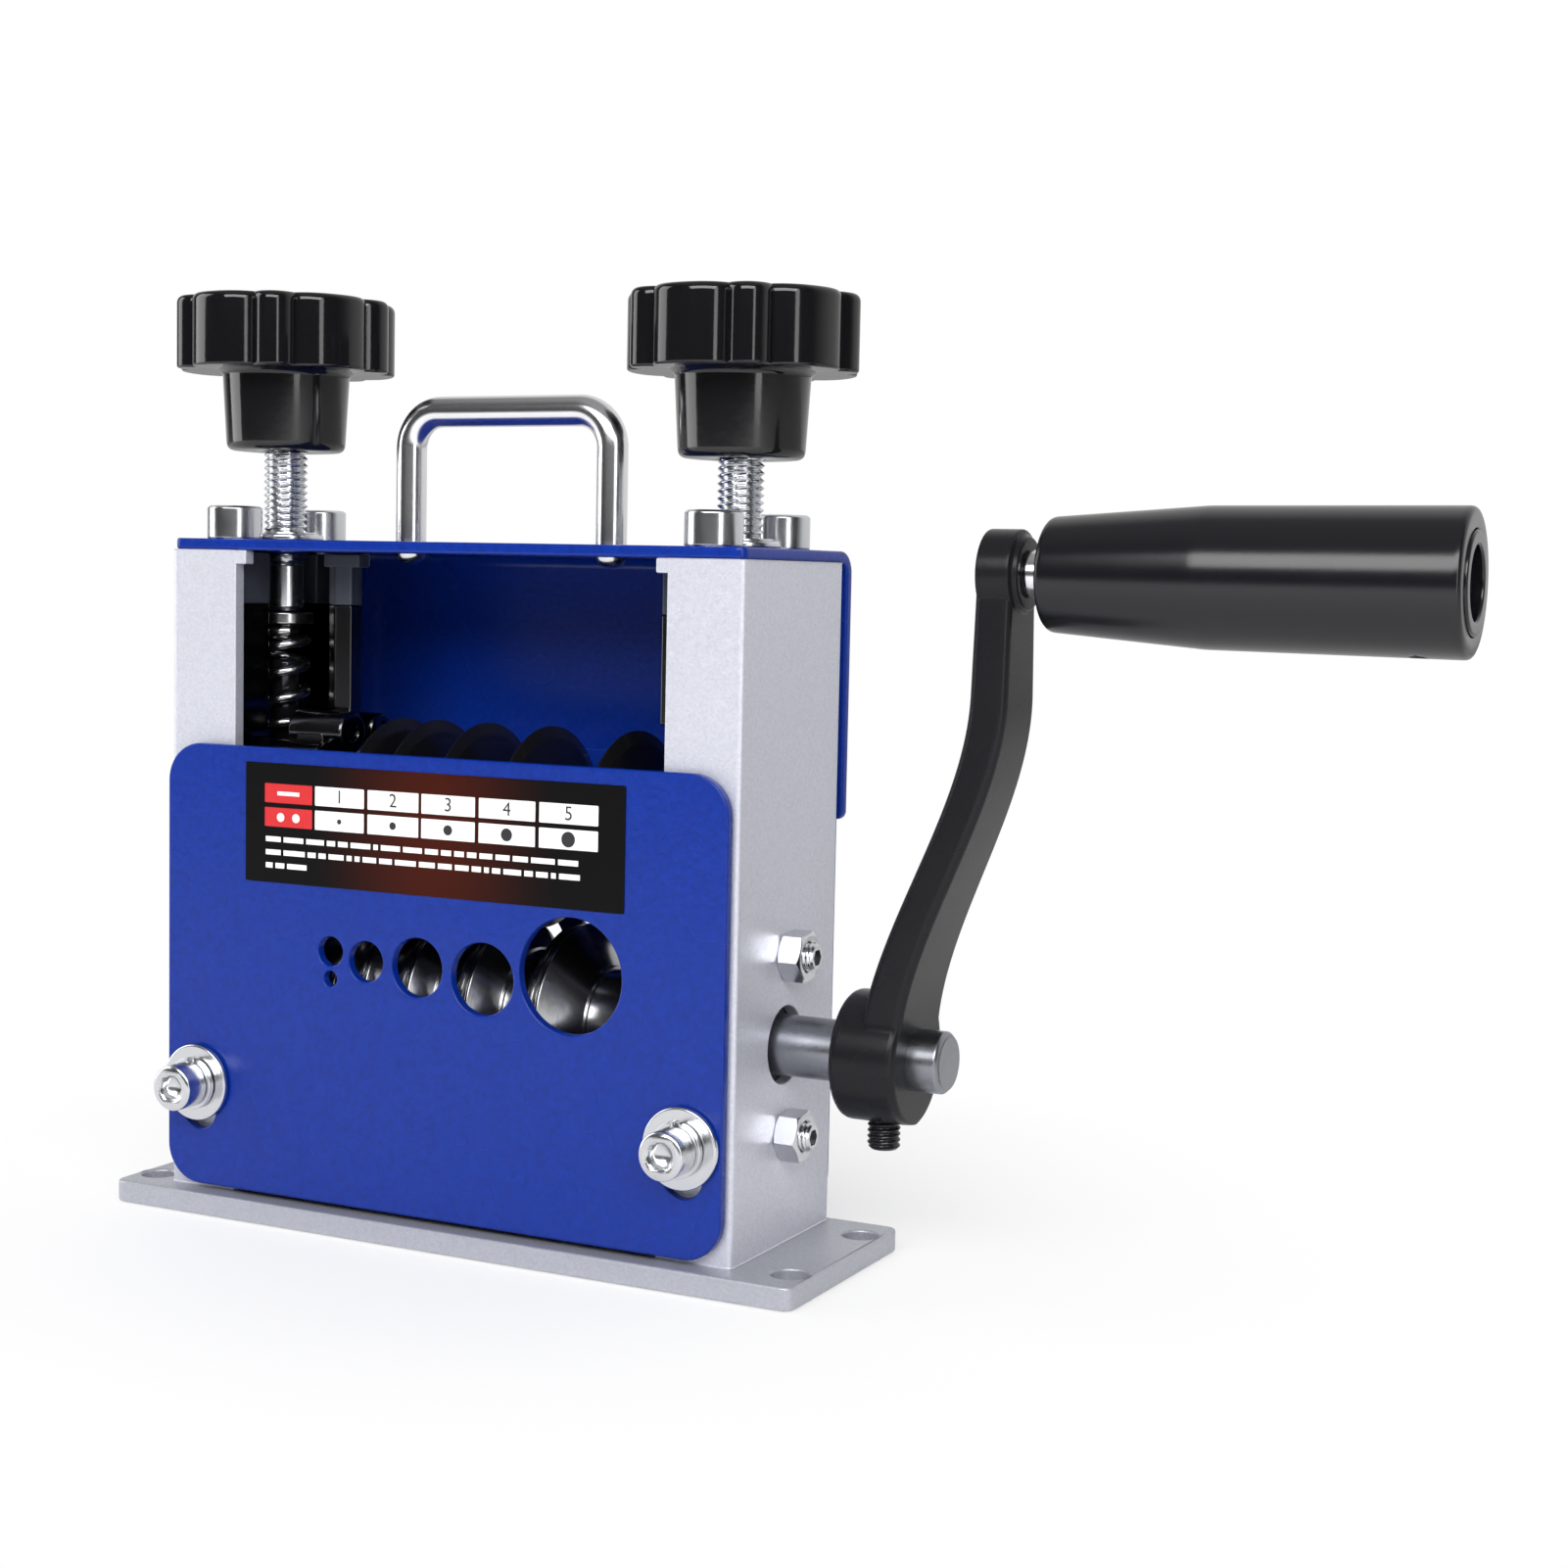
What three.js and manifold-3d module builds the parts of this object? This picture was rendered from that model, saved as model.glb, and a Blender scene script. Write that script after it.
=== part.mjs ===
// Hand crank wire stripper: two folded pillars on a base plate carry a driven feed roller and,
// above it, a sprung shaft with five round blades. Two knobs set how hard the blades press.
// Millimetres, +Z up. The origin is the centre of the base plate's underside, +X is the crank side
// and the feed holes face -Y. Sizes named U are measured inwards from a pillar's outer face.
import * as THREE from "three";
import { mergeVertices } from "three/addons/utils/BufferGeometryUtils.js";
import Module from "manifold-3d";

const wasm = await Module();
wasm.setup();

// Fits
const FACE_GAP = 0.3;
const SCREW_CLEARANCE = 0.4;
const SHAFT_CLEARANCE = 0.4;
const CUT_OVERRUN = 1;

// Facets round a circle, by the size of what is round
const SMALL_SIDES = 12;
const ROUND_SIDES = 16;
const LARGE_SIDES = 28;
const HEX_SIDES = 6;
const CORNER_STEPS = 4;

// Base plate
const BASE_LENGTH = 140;
const BASE_WIDTH = 44;
const BASE_THICKNESS = 4;
const BASE_CORNER_RADIUS = 2.5;
const BASE_HOLE_PITCH_X = 132;
const BASE_HOLE_PITCH_Y = 28;
const BASE_HOLE_DIAMETER = 6.5;

// The pillars stand off the middle of the base plate by this much
const MACHINE_SHIFT_X = -2;
const MACHINE_SHIFT_Y = 2;

// Pillars
const PILLAR_SPAN = 117;
const PILLAR_DEPTH = 38;
const PILLAR_HEIGHT = 117;
const PILLAR_WALL = 2.5;
const PILLAR_FLANGE = 14.3;
const PILLAR_FOLD_RADIUS = 1;
const TAB_REACH = 16.5;
const TAB_HEIGHT = 2.5;
const SHAFT_HOLE_DIAMETER = 13.5;

// Top cover, one plate folded down at the back
const COVER_THICKNESS = 2;
const COVER_INSET = 0.2;
const COVER_DROP = 47.5;
const COVER_FOLD_RADIUS = 4;
const COVER_CORNER_RADIUS = 1.5;

// Front and rear guards
const GUARD_INSET = 1;
const GUARD_RAISE = 1;
const GUARD_HEIGHT = 81;
const GUARD_THICKNESS = 2;
const GUARD_CORNER_RADIUS = 7;
const GUARD_SCREW_U = 8.2;
const GUARD_SCREW_Z = 24;
const GUARD_SLOT_WIDTH = 7.5;
const GUARD_TRAVEL = 5;

// Wire channels from left to right: each one's place across the machine as a share of the last
// one's, and of each feed hole the rise over the feed shaft and the diameter as shares of the
// widest hole's
const LAST_CHANNEL_X = 28.1;
const WIDEST_HOLE_RISE = 11.9;
const WIDEST_HOLE_DIAMETER = 20;
const CHANNEL_SHARES = [
  { x: -0.7544, holes: [{ rise: 1, diameter: 0.26 }, { rise: 0.5882, diameter: 0.14 }] },
  { x: -0.484, holes: [{ rise: 0.8992, diameter: 0.36 }] },
  { x: -0.0996, holes: [{ rise: 0.8908, diameter: 0.52 }] },
  { x: 0.3772, holes: [{ rise: 0.8235, diameter: 0.63 }] },
  { x: 1, holes: [{ rise: 1, diameter: 1 }] },
];

// Feed shaft and feed roller
const FEED_SHAFT_DIAMETER = 10.5;
const FEED_SHAFT_Z = 38.6;
const FEED_SHAFT_END_U = 4.5;
const FEED_ROLLER_RADIUS = 17.5;
const FEED_ROLLER_END_LAND = 5.5;
const FEED_ROLLER_CHAMFER = 0.8;
// Each groove: half its width at the rim and half its flat bottom as shares of the widest one's,
// and its depth as a share of the deepest
const WIDEST_GROOVE_HALF = 9.2;
const WIDEST_GROOVE_FLAT_HALF = 3.6;
const DEEPEST_GROOVE = 7.5;
const GROOVE_SHARES = [
  { half: 0.2826, flat: 0.3333, depth: 0.2533 },
  { half: 0.3696, flat: 0.3611, depth: 0.3867 },
  { half: 0.5435, flat: 0.5556, depth: 0.5733 },
  { half: 0.6522, flat: 0.6111, depth: 0.7333 },
  { half: 1, flat: 1, depth: 1 },
];

// Lower bearing blocks and the studs that hold them to the pillars
const LOWER_BEARING_DEPTH = 22;
const LOWER_BEARING_HEIGHT = 42;
const LOWER_BEARING_THICKNESS = 10;
const STUD_DIAMETER = 5;
const STUD_SPREAD = 31;
const STUD_GRIP = 8;
const STUD_STICKOUT = 5.6;
const STUD_SOCKET = 2.5;
const STUD_SOCKET_DEPTH = 2;
const STUD_NUT_WIDTH = 8;
const STUD_NUT_HEIGHT = 4.2;

// Adjusting rods, each with its cover screws in front and behind
const ROD_U = 10.8;
const ROD_DIAMETER = 8;
const ROD_END_DIAMETER = 6.8;
const ROD_END_LENGTH = 8.5;
const ROD_DROP = 11;
const ROD_IN_KNOB = 18;
const ROD_WASHER_DIAMETER = 14;
const ROD_WASHER_THICKNESS = 1.6;
const COVER_SCREW_U = 9.1;
const COVER_SCREW_PITCH = 25.4;
const COVER_SCREW_DIAMETER = 6;
const COVER_SCREW_LENGTH = 10.5;
const CAP_HEAD_SHARE = 1.65;
const CAP_SOCKET_SHARE = 0.83;
const CAP_SOCKET_DEPTH_SHARE = 0.5;

// Knobs, each screwed down its own way to above the cover
const KNOB_RISE = { left: 16.5, right: 15 };
const KNOB_HUB_HEIGHT = 14.5;
const KNOB_HUB_LOW_RADIUS = 10.8;
const KNOB_HUB_TOP_RADIUS = 11.6;
const KNOB_EDGE = 1.4;
const KNOB_HEAD_HEIGHT = 13.2;
const KNOB_RADIUS = 20;
// The rim repeats a wide and a narrow lobe; the turn sets where they stand
const KNOB_LOBE_PAIRS = 5;
const KNOB_LOBE_DEPTH = 2.2;
const KNOB_LOBE_STEPS = 12;
const KNOB_WIDE_SHARE = 2 / 3;
const KNOB_LOBE_TURN = 2 / 3;
const KNOB_WIDE_POWER = 3;
const KNOB_NARROW_POWER = 2;

// Blocks that take the cover screws, and the guides below them
const NUT_BLOCK_HEIGHT = 9.3;
const NUT_BLOCK_PLATE_THICKNESS = 2.4;
const NUT_BLOCK_PLATE_LEDGE = 1.7;
const NUT_BLOCK_BOSS = 4.4;
const NUT_BLOCK_SLOT_FRONT = 8;
const NUT_BLOCK_SLOT_BACK = 6;
const GUIDE_FRONT = 5.5;
const GUIDE_BELOW_SHAFT = 11;
const GUIDE_BACK_WALL = 4.2;
const GUIDE_CHEEK_RISE = 14.8;
// The rail beside a guide's slot, and the wall behind it that leans back towards the pillar
const RAIL_WIDTH = 6.2;
const RAIL_BACK = 2.2;
const RAIL_HEIGHT = 18.9;
const RAIL_CHAMFER_WIDTH = 2.5;
const RAIL_CHAMFER_DEPTH = 1.7;
const LEANING_WALL_WIDTH = 2.6;
const LEANING_WALL_SLOPE = 0.727;
// How far each side's guide slot reaches in from the pillar's outer face
const GUIDE_SLOT_END_U = { left: 23.6, right: 16.5 };
// Round stops below the rail of a wide guide, with the webs that carry them
const STOP_RADIUS = 3.9;
const STOP_START_U = 20.3;
const STOP_LENGTH = 12.1;
const STOP_Y = -8;
const STOP_RISE = 15.4;
const BACK_STOP_RADIUS = 3.2;
const BACK_STOP_LENGTH = 11.2;
const BACK_STOP_Y = 2;
const LOW_STOP_START_U = 16.9;
const LOW_STOP_LENGTH = 12.6;
const LOW_STOP_Y = -12;
const LOW_STOP_RISE = 9.9;
const STOP_WEB_START_U = 22.5;
const STOP_WEB_END_U = 28.5;
const STOP_WEB_HALF = 1.6;
const STOP_NECK_START_U = 26.5;

// Springs and thrust pads
const SPRING_MEAN_RADIUS = 3.9;
const SPRING_WIRE_DIAMETER = 1.8;
const SPRING_CLOSED_PITCH = 2.4;
const SPRING_CLOSED_TURNS = 1;
const SPRING_OPEN_TURNS = 2.9;
const SPRING_STEPS = 8;
const SPRING_SIDES = 5;
const PAD_DIAMETER = 10.4;
const PAD_THICKNESS = 2.1;
const SPIGOT_DIAMETER = 5;
const PAD_SPIGOT_LENGTH = 2;

// Upper bearings, which slide in the guides and carry the blade shaft
const BLADE_SHAFT_Z = 73;
const BLADE_SHAFT_DIAMETER = 10;
const UPPER_BEARING_RADIUS = 12;
const UPPER_BEARING_START_U = 6.5;
const UPPER_BEARING_LENGTH = 8;
const SPRING_SEAT_HALF = 4.8;
const SPRING_SEAT_RISE = 13;
const BLOCK_SPIGOT_LENGTH = 15;

// Blades, each with a hub that spaces it from the next
const BLADE_RADIUS = 18;
const BLADE_THICKNESS = 1.8;
const BLADE_EDGE = 0.4;
const BLADE_BEVEL = 2;
const BLADE_HUB_RADIUS = 8.5;
const BLADE_LAST_HUB = 3;
const ARBOR_DIAMETER = 12;
const ARBOR_SHOULDER = 3;
const LOCK_NUT_THICKNESS = 3;
const LOCK_NUT_DIAMETER = 18;

// Carry handle
const HANDLE_SHIFT_X = 1.5;
const HANDLE_SPAN = 42;
const HANDLE_RISE = 26.3;
const HANDLE_BAR_DIAMETER = 5.5;
const HANDLE_BEND_RADIUS = 6.5;
const HANDLE_SCREW_DIAMETER = 3;
const HANDLE_SCREW_LENGTH = 9;
const HANDLE_SCREW_HEAD_RADIUS = 2.7;
const HANDLE_SCREW_HEAD_HEIGHT = 1.9;

// Guard screws and washers
const GUARD_SCREW_DIAMETER = 5;
const GUARD_SCREW_HEAD_LENGTH = 5;
const GUARD_WASHER_DIAMETER = 14;
const GUARD_WASHER_THICKNESS = 1.2;
const LOCK_WASHER_DIAMETER = 9.6;
const LOCK_WASHER_THICKNESS = 1.4;
const GUARD_SCREW_TAIL = 3;
const REAR_SCREW_HEAD_LENGTH = 3;

// Crank
const CRANK_HUB_GAP = 12.7;
const CRANK_HUB_LENGTH = 11.8;
const CRANK_HUB_RADIUS = 11;
const FEED_SHAFT_STICKOUT = 5.7;
const CRANK_RADIUS = 81;
const ARM_OFFSET = 16.3;
const ARM_LOW_THICKNESS = 7.2;
const ARM_TOP_THICKNESS = 6.2;
const ARM_LOW_WIDTH = 19;
const ARM_TOP_WIDTH = 12;
const ARM_BEND_LOW_Z = 40;
const ARM_BEND_TOP_Z = 100;
const ARM_EDGE = 1.4;
const ARM_STEPS = 14;
const BOSS_DIAMETER = 14.4;
const BOSS_RIM = 1;
const SET_SCREW_DIAMETER = 5.6;
const SET_SCREW_STICKOUT = 4.6;
const SET_SCREW_INSET = 6;

// Grip
const SPACER_LENGTH = 3;
const SPACER_DIAMETER = 8;
const GRIP_LENGTH = 66.5;
const GRIP_START_DIAMETER = 18.4;
const GRIP_BREAK_DIAMETER = 22.4;
const GRIP_END_DIAMETER = 23;
const GRIP_TAPER_LENGTH = 26;
const GRIP_EDGE = 1.2;
const SPINDLE_DIAMETER = 6;
const SPINDLE_HEAD_DIAMETER = 10;
const SPINDLE_HEAD_LENGTH = 4;
const SPINDLE_HEAD_SOCKET = 5;
const GRIP_RECESS_DIAMETER = 11.4;
const GRIP_RECESS_DEPTH = 9;
const END_CAP_DIAMETER = 16;
const END_CAP_THICKNESS = 2.4;
const END_CAP_PROUD = 0.4;
const PIN_HOLE_DIAMETER = 3;
const PIN_HOLE_DEPTH = 2;
const PIN_HOLE_FROM_END = 7.5;

// Places that follow from the sizes above
const CHANNELS = CHANNEL_SHARES.map(({ x, holes }) => ({
  x: x * LAST_CHANNEL_X,
  holes: holes.map(({ rise, diameter }) => ({
    z: FEED_SHAFT_Z + rise * WIDEST_HOLE_RISE,
    diameter: diameter * WIDEST_HOLE_DIAMETER,
  })),
}));
const GROOVES = GROOVE_SHARES.map(({ half, flat, depth }) => ({
  half: half * WIDEST_GROOVE_HALF,
  flat: flat * WIDEST_GROOVE_FLAT_HALF,
  bottom: FEED_ROLLER_RADIUS - depth * DEEPEST_GROOVE,
}));
const PILLAR_X = PILLAR_SPAN / 2;
const PILLAR_FRONT = -PILLAR_DEPTH / 2;
const PILLAR_BACK = PILLAR_DEPTH / 2;
const PILLAR_TOP_Z = BASE_THICKNESS + PILLAR_HEIGHT;
const INNER_HALF_DEPTH = PILLAR_DEPTH / 2 - PILLAR_WALL;
const COVER_TOP_Z = PILLAR_TOP_Z + COVER_THICKNESS;
const FRONT_GUARD_Y = PILLAR_FRONT - FACE_GAP;
const ROD_X = PILLAR_X - ROD_U;
const COVER_SCREW_X = PILLAR_X - COVER_SCREW_U;
const GUARD_WIDTH = PILLAR_SPAN - 2 * GUARD_INSET;
const GUARD_BOTTOM = BASE_THICKNESS + GUARD_RAISE;
const GUARD_SCREW_X = PILLAR_X - GUARD_SCREW_U;
const TAB_BOTTOM_Z = PILLAR_TOP_Z - TAB_HEIGHT;
const NUT_BLOCK_TOP_Z = PILLAR_TOP_Z - FACE_GAP;
const NUT_BLOCK_Z = NUT_BLOCK_TOP_Z - NUT_BLOCK_HEIGHT;
const RAIL_BOTTOM_Z = NUT_BLOCK_Z - RAIL_HEIGHT;
const GUIDE_BOTTOM_Z = BLADE_SHAFT_Z - GUIDE_BELOW_SHAFT;
const GUIDE_CHEEK_Z = BLADE_SHAFT_Z + GUIDE_CHEEK_RISE;
const BOSS_REACH = COVER_SCREW_U + NUT_BLOCK_BOSS;
const SLOT_START_U = ROD_U - PAD_DIAMETER / 2 - FACE_GAP;
const ROD_BOTTOM_Z = PILLAR_TOP_Z - ROD_DROP;
const PAD_TOP_Z = ROD_BOTTOM_Z - FACE_GAP;
const PAD_BOTTOM_Z = PAD_TOP_Z - PAD_THICKNESS;
const UPPER_SEAT_Z = BLADE_SHAFT_Z + SPRING_SEAT_RISE;
const SPRING_BOTTOM_Z = UPPER_SEAT_Z + FACE_GAP;
const SPRING_TOP_Z = PAD_BOTTOM_Z - FACE_GAP;
const HUB_INNER_X = PILLAR_X + CRANK_HUB_GAP;
const HUB_OUTER_X = HUB_INNER_X + CRANK_HUB_LENGTH;
const CRANK_TOP_Z = FEED_SHAFT_Z + CRANK_RADIUS;
const BOSS_OUTER_X = HUB_OUTER_X + ARM_OFFSET + BOSS_RIM;
const GRIP_START_X = BOSS_OUTER_X + FACE_GAP + SPACER_LENGTH + FACE_GAP;
const GRIP_END_X = GRIP_START_X + GRIP_LENGTH;

// Finishes
const finish = (color, roughness, metalness) => ({ color, roughness, metalness });
const BLUE_PAINT = finish(0x1f37a0, 0.45, 0.1);
const SILVER_PAINT = finish(0xc4c6ce, 0.5, 0.5);
const ZINC = finish(0xd0d2d6, 0.3, 1);
const POLISHED_STEEL = finish(0xdcdde0, 0.15, 1);
const BLACK_STEEL = finish(0x2a2b30, 0.35, 0.8);
const BLACK_PLASTIC = finish(0x101012, 0.3, 0);
const BLACK_CASTING = finish(0x141416, 0.4, 0.2);

// Merges shared points, drops faces without area and turns the faces outwards.
function closed(geometry) {
  const bare = new THREE.BufferGeometry();
  bare.setAttribute("position", geometry.getAttribute("position"));
  if (geometry.index) bare.setIndex(geometry.index);
  const merged = mergeVertices(bare);
  const from = merged.index.array;
  const point = [0, 1, 2].map(() => new THREE.Vector3());
  const kept = [];
  let volume = 0;
  for (let i = 0; i < from.length; i += 3) {
    const [a, b, c] = [from[i], from[i + 1], from[i + 2]];
    if (a === b || b === c || c === a) continue;
    kept.push(a, b, c);
    [a, b, c].forEach((index, k) => point[k].fromBufferAttribute(merged.attributes.position, index));
    volume += point[0].dot(point[1].cross(point[2]));
  }
  if (volume < 0) for (let i = 0; i < kept.length; i += 3) [kept[i], kept[i + 1]] = [kept[i + 1], kept[i]];
  merged.setIndex(kept);
  return merged;
}

function solid(geometry) {
  const shell = closed(geometry);
  return new wasm.Manifold(
    new wasm.Mesh({
      numProp: 3,
      vertProperties: new Float32Array(shell.attributes.position.array),
      triVerts: new Uint32Array(shell.index.array),
    }),
  );
}

function geometryOf(body) {
  const mesh = body.getMesh();
  const geometry = new THREE.BufferGeometry();
  geometry.setAttribute("position", new THREE.BufferAttribute(new Float32Array(mesh.vertProperties), 3));
  geometry.setIndex([...mesh.triVerts]);
  return geometry;
}

// Joins the first list of geometries and cuts the second from it.
function shaped(joined, cut = []) {
  let body = joined.map(solid).reduce((whole, next) => whole.add(next));
  for (const piece of cut) body = body.subtract(solid(piece));
  return geometryOf(body);
}

function piece(name, geometry, look) {
  const shell = closed(geometry).toNonIndexed();
  shell.computeVertexNormals();
  const mesh = new THREE.Mesh(shell, new THREE.MeshStandardMaterial(look));
  mesh.name = name;
  return mesh;
}

// A block between two corners.
function block(low, high) {
  const size = high.map((value, i) => value - low[i]);
  const middle = high.map((value, i) => (value + low[i]) / 2);
  return new THREE.BoxGeometry(...size).translate(...middle);
}

// Turns a shape made along Z so that it lies along X, Y or Z.
function along(axis, geometry) {
  if (axis === "x") return geometry.rotateY(Math.PI / 2);
  if (axis === "y") return geometry.rotateX(-Math.PI / 2);
  return geometry;
}

// A round bar along an axis; centre gives its place on the other two axes and zero on its own.
function bar(axis, diameter, from, to, centre, sides = ROUND_SIDES) {
  const radius = diameter / 2;
  const geometry = new THREE.CylinderGeometry(radius, radius, Math.abs(to - from), sides);
  geometry.rotateX(Math.PI / 2);
  along(axis, geometry).translate(...centre);
  const middle = (from + to) / 2;
  return geometry.translate(axis === "x" ? middle : 0, axis === "y" ? middle : 0, axis === "z" ? middle : 0);
}

// A hexagonal bar, its size given across the flats.
function hexBar(axis, acrossFlats, from, to, centre) {
  const diameter = acrossFlats / Math.cos(Math.PI / HEX_SIDES);
  return bar(axis, diameter, from, to, centre, HEX_SIDES);
}

// A turned piece from [radius, place along the axis] pairs.
function turned(axis, profile, centre, sides = ROUND_SIDES) {
  const points = profile.map(([radius, place]) => new THREE.Vector2(radius, place));
  const geometry = new THREE.LatheGeometry(points, sides).rotateX(Math.PI / 2);
  return along(axis, geometry).translate(...centre);
}

// The points of an arc, both ends included.
function arcPoints(x, y, radius, from, to, steps) {
  const points = [];
  for (let i = 0; i <= steps; i++) {
    const angle = from + ((to - from) * i) / steps;
    points.push(new THREE.Vector2(x + radius * Math.cos(angle), y + radius * Math.sin(angle)));
  }
  return points;
}

// A rectangle with four round corners.
function roundedRectangle(left, right, low, high, radius) {
  const quarter = Math.PI / 2;
  const centres = [
    [right - radius, low + radius],
    [right - radius, high - radius],
    [left + radius, high - radius],
    [left + radius, low + radius],
  ];
  const corner = ([x, y], i) => arcPoints(x, y, radius, (i - 1) * quarter, i * quarter, CORNER_STEPS);
  return new THREE.Shape(centres.flatMap(corner));
}

function roundHole(x, y, diameter, sides = ROUND_SIDES) {
  return new THREE.Path(arcPoints(x, y, diameter / 2, 0, Math.PI * 2, sides).slice(1));
}

function extruded(shape, thickness) {
  return new THREE.ExtrudeGeometry(shape, { depth: thickness, bevelEnabled: false });
}

// Stands a flat shape, drawn in X and Z, up against the plane at y; it grows towards +Y.
function upright(shape, thickness, y) {
  const swap = new THREE.Matrix4().makeBasis(
    new THREE.Vector3(1, 0, 0),
    new THREE.Vector3(0, 0, 1),
    new THREE.Vector3(0, 1, 0),
  );
  return closed(extruded(shape, thickness).applyMatrix4(swap)).translate(0, y, 0);
}

// Runs a section drawn in Y and Z along X.
function lengthwise(shape, from, to) {
  const turn = new THREE.Matrix4().makeBasis(
    new THREE.Vector3(0, 1, 0),
    new THREE.Vector3(0, 0, 1),
    new THREE.Vector3(1, 0, 0),
  );
  return extruded(shape, to - from).applyMatrix4(turn).translate(from, 0, 0);
}

// Closes a row of rings, each with as many points as the next, into one skin with flat ends.
function loft(rings) {
  const count = rings[0].length;
  const points = rings.flat();
  const faces = [];
  for (let ring = 0; ring < rings.length - 1; ring++) {
    for (let i = 0; i < count; i++) {
      const a = ring * count + i;
      const b = ring * count + ((i + 1) % count);
      faces.push(a, b, a + count, b, b + count, a + count);
    }
  }
  const last = (rings.length - 1) * count;
  for (let i = 1; i < count - 1; i++) {
    faces.push(0, i + 1, i);
    faces.push(last, last + i, last + i + 1);
  }
  const geometry = new THREE.BufferGeometry().setFromPoints(points);
  geometry.setIndex(faces);
  return geometry;
}

// A round tube through a row of points, its section carried without twist.
function tube(points, diameter, sides) {
  const rings = [];
  const tangentAt = (i) => {
    const before = points[Math.max(i - 1, 0)];
    const after = points[Math.min(i + 1, points.length - 1)];
    return after.clone().sub(before).normalize();
  };
  let side = new THREE.Vector3(0, 1, 0);
  points.forEach((point, i) => {
    const tangent = tangentAt(i);
    side = side.clone().addScaledVector(tangent, -side.dot(tangent)).normalize();
    const up = tangent.clone().cross(side);
    const ring = [];
    for (let k = 0; k < sides; k++) {
      const angle = (k / sides) * Math.PI * 2;
      const across = side.clone().multiplyScalar((Math.cos(angle) * diameter) / 2);
      ring.push(point.clone().add(across).addScaledVector(up, (Math.sin(angle) * diameter) / 2));
    }
    rings.push(ring);
  });
  return loft(rings);
}

// A socket cap screw along Z, its seat at zero and its shank going down. A lock washer, where the
// screw has one, lies under its head on the seat.
function capScrew(diameter, length, headLength, lockWasher = { diameter: 0, thickness: 0 }) {
  const shank = diameter / 2;
  const head = (diameter * CAP_HEAD_SHARE) / 2;
  const collar = Math.max(lockWasher.diameter / 2, head);
  const under = lockWasher.thickness;
  const top = under + headLength;
  const profile = [
    [0, -length],
    [shank, -length],
    [shank, 0],
    [collar, 0],
    [collar, under],
    [head, under],
    [head, top],
    [0, top],
  ];
  const socket = diameter * CAP_SOCKET_SHARE;
  const hole = hexBar("z", socket, top - headLength * CAP_SOCKET_DEPTH_SHARE, top + CUT_OVERRUN, [0, 0, 0]);
  return shaped([turned("z", profile, [0, 0, 0])], [hole]);
}

function basePlate() {
  const outline = roundedRectangle(
    -BASE_LENGTH / 2,
    BASE_LENGTH / 2,
    -BASE_WIDTH / 2,
    BASE_WIDTH / 2,
    BASE_CORNER_RADIUS,
  );
  for (const x of [-BASE_HOLE_PITCH_X / 2, BASE_HOLE_PITCH_X / 2]) {
    for (const y of [-BASE_HOLE_PITCH_Y / 2, BASE_HOLE_PITCH_Y / 2]) {
      outline.holes.push(roundHole(x, y, BASE_HOLE_DIAMETER));
    }
  }
  return piece("base_plate", extruded(outline, BASE_THICKNESS), SILVER_PAINT);
}

// One pillar in its own frame: x runs inwards from the outer face.
function pillar(name) {
  const front = PILLAR_FRONT;
  const back = PILLAR_BACK;
  const skin = roundedRectangle(0, PILLAR_FLANGE + PILLAR_FOLD_RADIUS, front, back, PILLAR_FOLD_RADIUS);
  const tall = extruded(skin, PILLAR_HEIGHT).translate(0, 0, BASE_THICKNESS);
  const trim = block(
    [PILLAR_FLANGE, front - CUT_OVERRUN, 0],
    [TAB_REACH + CUT_OVERRUN, back + CUT_OVERRUN, PILLAR_TOP_Z + CUT_OVERRUN],
  );
  const inside = block(
    [PILLAR_WALL, -INNER_HALF_DEPTH, 0],
    [PILLAR_FLANGE + CUT_OVERRUN, INNER_HALF_DEPTH, PILLAR_TOP_Z + CUT_OVERRUN],
  );
  const tab = (low, high) => block([PILLAR_WALL, low, TAB_BOTTOM_Z], [TAB_REACH, high, PILLAR_TOP_Z]);
  const channel = geometryOf(solid(tall).subtract(solid(trim)).subtract(solid(inside)));
  const body = [channel, tab(front, -INNER_HALF_DEPTH), tab(INNER_HALF_DEPTH, back)];
  const through = (diameter, z) =>
    bar("x", diameter, -CUT_OVERRUN, PILLAR_WALL + CUT_OVERRUN, [0, 0, z]);
  const cuts = [through(SHAFT_HOLE_DIAMETER, FEED_SHAFT_Z)];
  for (const end of [-1, 1]) {
    cuts.push(through(STUD_DIAMETER + SCREW_CLEARANCE, FEED_SHAFT_Z + (end * STUD_SPREAD) / 2));
  }
  cuts.push(
    bar(
      "y",
      GUARD_SCREW_DIAMETER + SCREW_CLEARANCE,
      front - CUT_OVERRUN,
      back + CUT_OVERRUN,
      [GUARD_SCREW_U, 0, GUARD_SCREW_Z],
    ),
  );
  return piece(name, shaped(body, cuts), SILVER_PAINT);
}

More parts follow.
